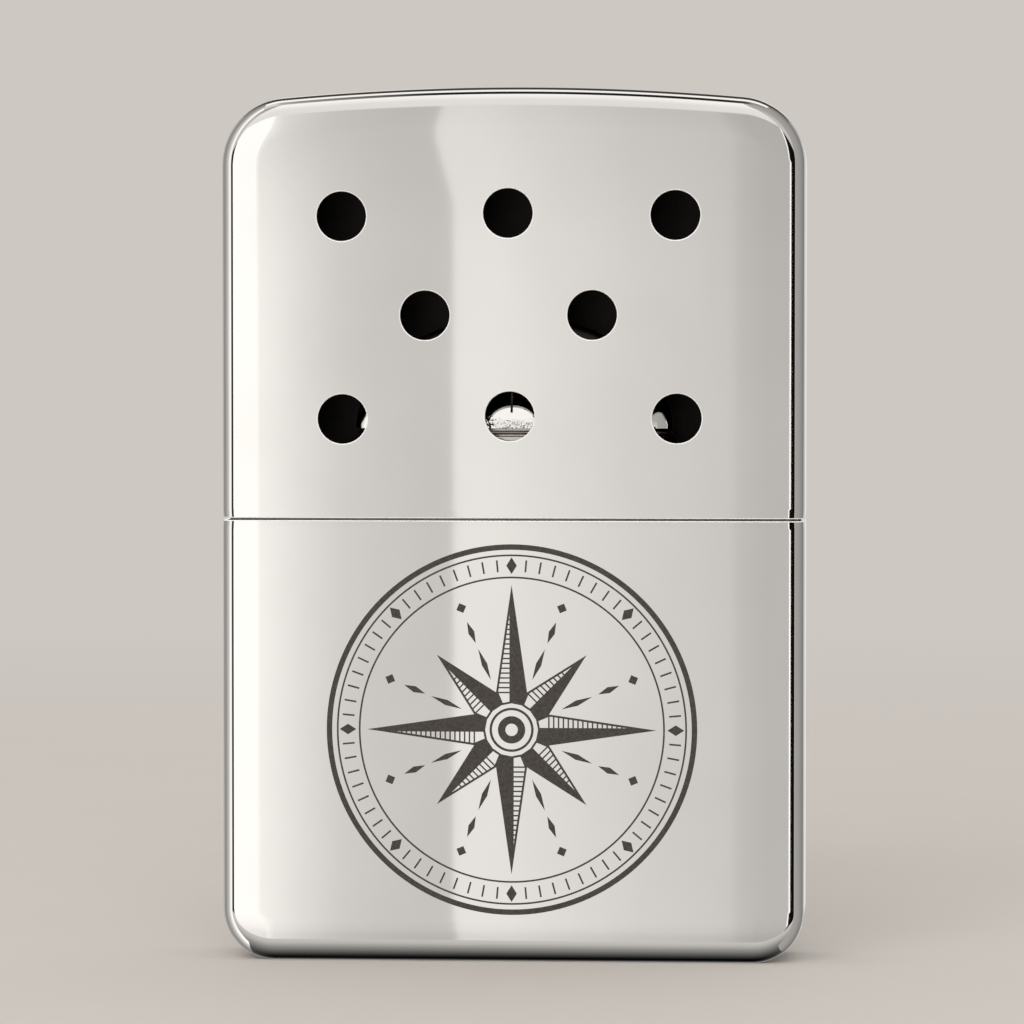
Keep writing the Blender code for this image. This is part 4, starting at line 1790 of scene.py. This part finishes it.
@dataclass(frozen=True)
class Card:
    """A lit or dark card that only the metal sees, with tones along its width."""

    name: str
    corner: Triple
    across: Triple
    rise: float
    tones: Tones
    lying: bool = False
    dimming: Tones = ()
    bend_from: float = 0.0
    bend_to: float = 1.0
    bend: float = 0.0

    def make(self) -> None:
        """Sets the card up in the studio."""
        put_down()
        width = Vector(self.across).length
        bpy.ops.mesh.primitive_plane_add(size=1, location=(0, 0, 0))
        card = named(bpy.context.object, self.name)
        card.scale = (width, self.rise, 1)
        settle()
        turn = math.atan2(self.across[1], self.across[0])
        card.rotation_euler = (0, 0, turn) if self.lying else (math.pi / 2, 0, turn)
        half_rise = Vector((0, self.rise / 2, 0)) if self.lying else Vector((0, 0, self.rise / 2))
        card.location = Vector(self.corner) + Vector(self.across) / 2 + half_rise
        card.data.materials.append(self.glow(width))
        card.visible_camera = card.visible_diffuse = card.visible_shadow = False
        card.visible_transmission = card.visible_volume_scatter = False

    def glow(self, width: float) -> Material:
        """Builds the card's glow.

        Args:
            width: the card's width.

        Returns:
            The material.
        """
        sheet = Sheet(self.name)
        across = sheet.add("ShaderNodeSeparateXYZ", {0: sheet.place})
        height = sheet.ranged(across.node.outputs["Y"], 0.0, 1.0, -self.rise / 2, self.rise / 2)
        if self.bend:
            over = sheet.ranged(height, 0.0, self.bend, self.bend_from, self.bend_to)
            left = sheet.ranged(across, 1.0, 0.0, -0.2 * width, 0.1 * width)
            across = sheet.maths("ADD", across, sheet.maths("MULTIPLY", over, left))
        share = sheet.ranged(across, 0.0, 1.0, -width / 2, width / 2)
        inputs = {"Color": sheet.ramp(share, warmed(self.tones))}
        if self.dimming:
            inputs["Strength"] = sheet.ramp(height, tuple((where, (tone,) * 3) for where, tone in self.dimming))
        sheet.show(sheet.add("ShaderNodeEmission", inputs))
        return sheet.material


def warm(tone: float) -> Triple:
    """Gives a tone the faint warmth of the studio's light."""
    return (tone, tone * 0.985, tone * 0.965)


def warmed(tones: Tones) -> Stops:
    """Gives the stops of a ramp for places and tones."""
    return tuple((where, warm(tone)) for where, tone in tones)


def stops_between(first: float, last: float, points: Tones) -> Tones:
    """Turns tones at places into tones at shares of a card's width.

    Args:
        first: the card's left end.
        last: the card's right end.
        points: places and tones, in order.

    Returns:
        Shares and tones.
    """
    return tuple(((place - first) / (last - first), tone) for place, tone in points)


@dataclass
class Studio:
    """Floor, light, reflection cards and camera."""

    camera_turn: float = math.radians(4.0)
    camera_rise: float = math.radians(2.0)
    camera_reach: float = 0.6
    aim: Triple = (0.0, -0.007, 0.05105)
    lens: float = 186.8
    lamp_place: Triple = (-0.15, -1.1, 0.75)
    lamp_way: Triple = (0.15, 1.1, -0.72)
    lamp_size: tuple[float, float] = (1.1, 0.6)
    lamp_power: float = 7.5
    card_plane: float = -0.627
    card_low: float = -0.135
    card_high: float = 0.168
    left_slot_low: float = -0.09
    face_left: float = -0.11
    face_right: float = 0.08
    face_tones: Tones = (
        (-0.1100, 1.25), (-0.1004, 1.08), (-0.0965, 1.0), (-0.0926, 0.92), (-0.0880, 0.85), (-0.0830, 0.78),
        (-0.0742, 0.73), (-0.0649, 0.70), (-0.057, 0.69), (-0.0568, 0.98), (-0.0464, 0.97), (-0.0372, 0.91),
        (-0.0233, 0.84), (-0.0141, 0.79), (-0.0002, 0.75), (0.0072, 0.72), (0.0086, 0.65), (0.0150, 0.6),
        (0.0740, 0.6), (0.0760, 1.4), (0.0800, 1.5),
    )
    face_dimming: Tones = (
        (-0.135, 0.83), (-0.105, 0.95), (-0.075, 1.0), (0.0586, 1.0), (0.0902, 0.97), (0.1009, 0.935),
        (0.1133, 0.92), (0.1216, 0.9), (0.168, 0.87),
    )
    face_bend: Triple = (0.1, 0.1148, 0.0041)
    overhead_reach: float = 0.7
    overhead: tuple[tuple[str, float, float, Tones], ...] = (
        (
            "overhead_gap", -0.48, 0.34,
            ((-0.22, 0.8), (-0.137, 0.3), (-0.085, 0.02), (0.05, 0.02), (0.1, 0.1), (0.16, 0.35)),
        ),
        ("overhead_light", -0.14, 0.27, ((-0.7, 1.15), (0.7, 1.15))),
        ("overhead_rear", 0.13, 0.67, ((-0.7, 0.06), (0.7, 0.06))),
    )
    behind_rise: float = 0.6
    behind: tuple[tuple[str, float, float, float, float], ...] = (
        ("rear_gap", -0.3, -0.16, 0.05, 0.05), ("rear_white", -0.16, -0.07, 1.1, 1.0),
        ("rear_soft", -0.07, 0.09, 0.62, 0.86), ("rear_edge", 0.09, 0.2, 1.1, 1.2),
        ("rear_side", 0.2, 0.34, 0.05, 0.05),
    )
    backdrop: Triple = (0.615, 0.577, 0.54)
    floor_tint: Triple = (0.62, 0.585, 0.545)
    floor_fade: tuple[float, float] = (0.2, 0.65)
    world_strength: float = 0.8
    dome: Tones = (
        (0.0, 0.0), (0.05, 0.05), (0.12, 0.14), (0.228, 0.31), (0.329, 0.54), (0.405, 0.7), (0.62, 0.66), (0.8, 0.42),
        (1.0, 0.72),
    )

    def set_floor(self) -> None:
        """Lays the floor, which fades to the backdrop far away."""
        put_down()
        bpy.ops.mesh.primitive_plane_add(size=12.0, location=(0, 0, 0))
        floor = named(bpy.context.object, "floor")
        sheet = Sheet("floor", Roughness=0.95, Specular_IOR_Level=0.1)
        reach = sheet.add("ShaderNodeVectorMath", {0: sheet.place}, operation="LENGTH")
        low = tuple(0.985 * tone for tone in self.floor_tint)
        sheet.wire("Base Color", sheet.ramp(sheet.noise(30.0), ((0.3, low), (0.7, self.floor_tint))))
        far = sheet.add("ShaderNodeEmission", {"Color": (*self.backdrop, 1.0), "Strength": 1.0})
        fade = sheet.ranged(reach.node.outputs["Value"], 0.0, 1.0, *self.floor_fade)
        sheet.show(sheet.add("ShaderNodeMixShader", {0: fade, 1: sheet.shader.outputs[0], 2: far}))
        floor.data.materials.append(sheet.material)
        floor.visible_glossy = False

    def set_world(self) -> None:
        """Fills the room with soft light: the backdrop's colour for the camera, a soft dome for the rest."""
        world = bpy.data.worlds.new("soft_room")
        bpy.context.scene.world = world
        world.use_nodes = True
        world.node_tree.nodes.clear()
        wiring = Wiring(world.node_tree)
        place = wiring.add("ShaderNodeTexCoord", {}).node.outputs["Generated"]
        height = wiring.add("ShaderNodeSeparateXYZ", {0: place}).node.outputs["Z"]
        dome = wiring.ramp(wiring.ranged(height, 0.0, 1.0, -1.0, 1.0), warmed(self.dome))
        room = wiring.add("ShaderNodeBackground", {"Color": dome})
        soft = wiring.add("ShaderNodeBackground", {"Color": (*warm(1.0), 1.0), "Strength": self.world_strength})
        seen = wiring.add("ShaderNodeBackground", {"Color": (*self.backdrop, 1.0)})
        path = wiring.tree.nodes.new("ShaderNodeLightPath").outputs
        lit = wiring.add("ShaderNodeMixShader", {0: path["Is Glossy Ray"], 1: soft, 2: room})
        mixed = wiring.add("ShaderNodeMixShader", {0: path["Is Camera Ray"], 1: lit, 2: seen})
        wiring.tree.links.new(mixed, wiring.tree.nodes.new("ShaderNodeOutputWorld").inputs["Surface"])

    def set_cards(self) -> None:
        """Sets up the cards that the polished faces show."""
        y, low, high, reach = self.card_plane, self.card_low, self.card_high, self.overhead_reach
        rise, slot_rise = high - low, high - self.left_slot_low
        bend_low, bend_high, bend = self.face_bend
        cards = [
            Card(
                "face_card", (self.face_left, y, low), (self.face_right - self.face_left, 0, 0), rise,
                stops_between(self.face_left, self.face_right, self.face_tones),
                dimming=stops_between(low, high, self.face_dimming),
                bend_from=(bend_low - low) / rise, bend_to=(bend_high - low) / rise, bend=bend,
            ),
            Card(
                "white_card", (-0.21, y, low), (0.1, 0, 0), rise, ((0.0, 1.3), (1.0, 1.25)),
                dimming=((0.0, 0.72), (0.1, 0.9), (0.2, 1.0)),
            ),
            Card(
                "upper_card", (-0.21, y, high), (0.29, 0, 0), 0.7, ((0.0, 1.12), (1.0, 1.12)),
                dimming=((0.0, 0.8), (0.1, 0.87), (0.5, 1.0)),
            ),
            Card("left_slot", (-0.36, y, self.left_slot_low), (0.15, 0, 0), slot_rise, ((0.0, 0.02), (1.0, 0.02))),
            Card("right_slot", (0.08, y, low), (0.2, 0, 0), rise, ((0.0, 0.005), (1.0, 0.005))),
            Card(
                "left_wall", (-0.3, 0.25, -0.5), (-0.08, -0.8, 0), 1.2,
                ((0.0, 0.3), (0.3, 0.35), (0.55, 0.7), (0.75, 1.2), (1.0, 1.25)),
            ),
            Card("right_wall", (0.28, -0.56, -0.5), (0.06, 0.8, 0), 1.2, ((0.0, 0.45), (0.5, 0.4), (1.0, 0.2))),
        ]
        for name, start, depth, shades in self.overhead:
            stops = stops_between(-reach, reach, shades)
            cards.append(Card(name, (-reach, start, reach), (2 * reach, 0, 0), depth, stops, lying=True))
        for name, start, end, first, last in self.behind:
            stops = ((0.0, first), (1.0, last))
            cards.append(Card(name, (start, -y, low), (end - start, 0, 0), self.behind_rise, stops))
        for card in cards:
            card.make()

    def set_lamp(self) -> None:
        """Hangs one broad soft lamp above the camera."""
        put_down()
        bpy.ops.object.light_add(type="AREA", location=self.lamp_place)
        lamp = bpy.context.object
        lamp.name = "key"
        lamp.data.shape = "RECTANGLE"
        lamp.data.size, lamp.data.size_y = self.lamp_size
        lamp.data.energy = self.lamp_power
        lamp.data.color = warm(1.0)
        lamp.rotation_euler = Vector(self.lamp_way).to_track_quat("-Z", "Y").to_euler()
        lamp.visible_glossy = False

    def set_camera(self) -> None:
        """Stands the camera where the photograph was taken from."""
        lens = bpy.data.cameras.new("camera")
        lens.lens, lens.sensor_width = self.lens, 36.0
        lens.clip_start, lens.clip_end = 0.01, 50.0
        camera = bpy.data.objects.new("camera", lens)
        bpy.context.scene.collection.objects.link(camera)
        turn, flat = self.camera_turn, math.cos(self.camera_rise)
        back = Vector((math.sin(turn) * flat, -math.cos(turn) * flat, math.sin(self.camera_rise)))
        camera.location = Vector(self.aim) + back * self.camera_reach
        camera.rotation_euler = (-back).to_track_quat("-Z", "Y").to_euler()
        bpy.context.scene.camera = camera

    def build(self) -> None:
        """Sets up the whole studio."""
        bpy.context.scene.view_settings.view_transform = "Standard"
        self.set_floor()
        self.set_world()
        self.set_cards()
        self.set_lamp()
        self.set_camera()


def dress_kept_nodes() -> None:
    """Gives the CAD nodes that stay in the scene their finish."""
    drawn, wire = DRAWN_FINISH.make(), WIRE_FINISH.make()
    for name, node in frame["nodes"].items():
        node.data.materials.clear()
        node.data.materials.append(wire if name in ("lower_gauze", "neck_strainer") else drawn)


def main() -> None:
    """Builds every sub-assembly in order."""
    logging.basicConfig(level=logging.INFO, format="%(name)s %(message)s")
    dress_kept_nodes()
    CapShell("cap").make()
    TankShell("tank").make()
    TankMouth().make()
    Filling().make()
    Burner().make()
    CompassMark().make()
    put_down()
    Studio().build()


if __name__ == "__main__":
    main()
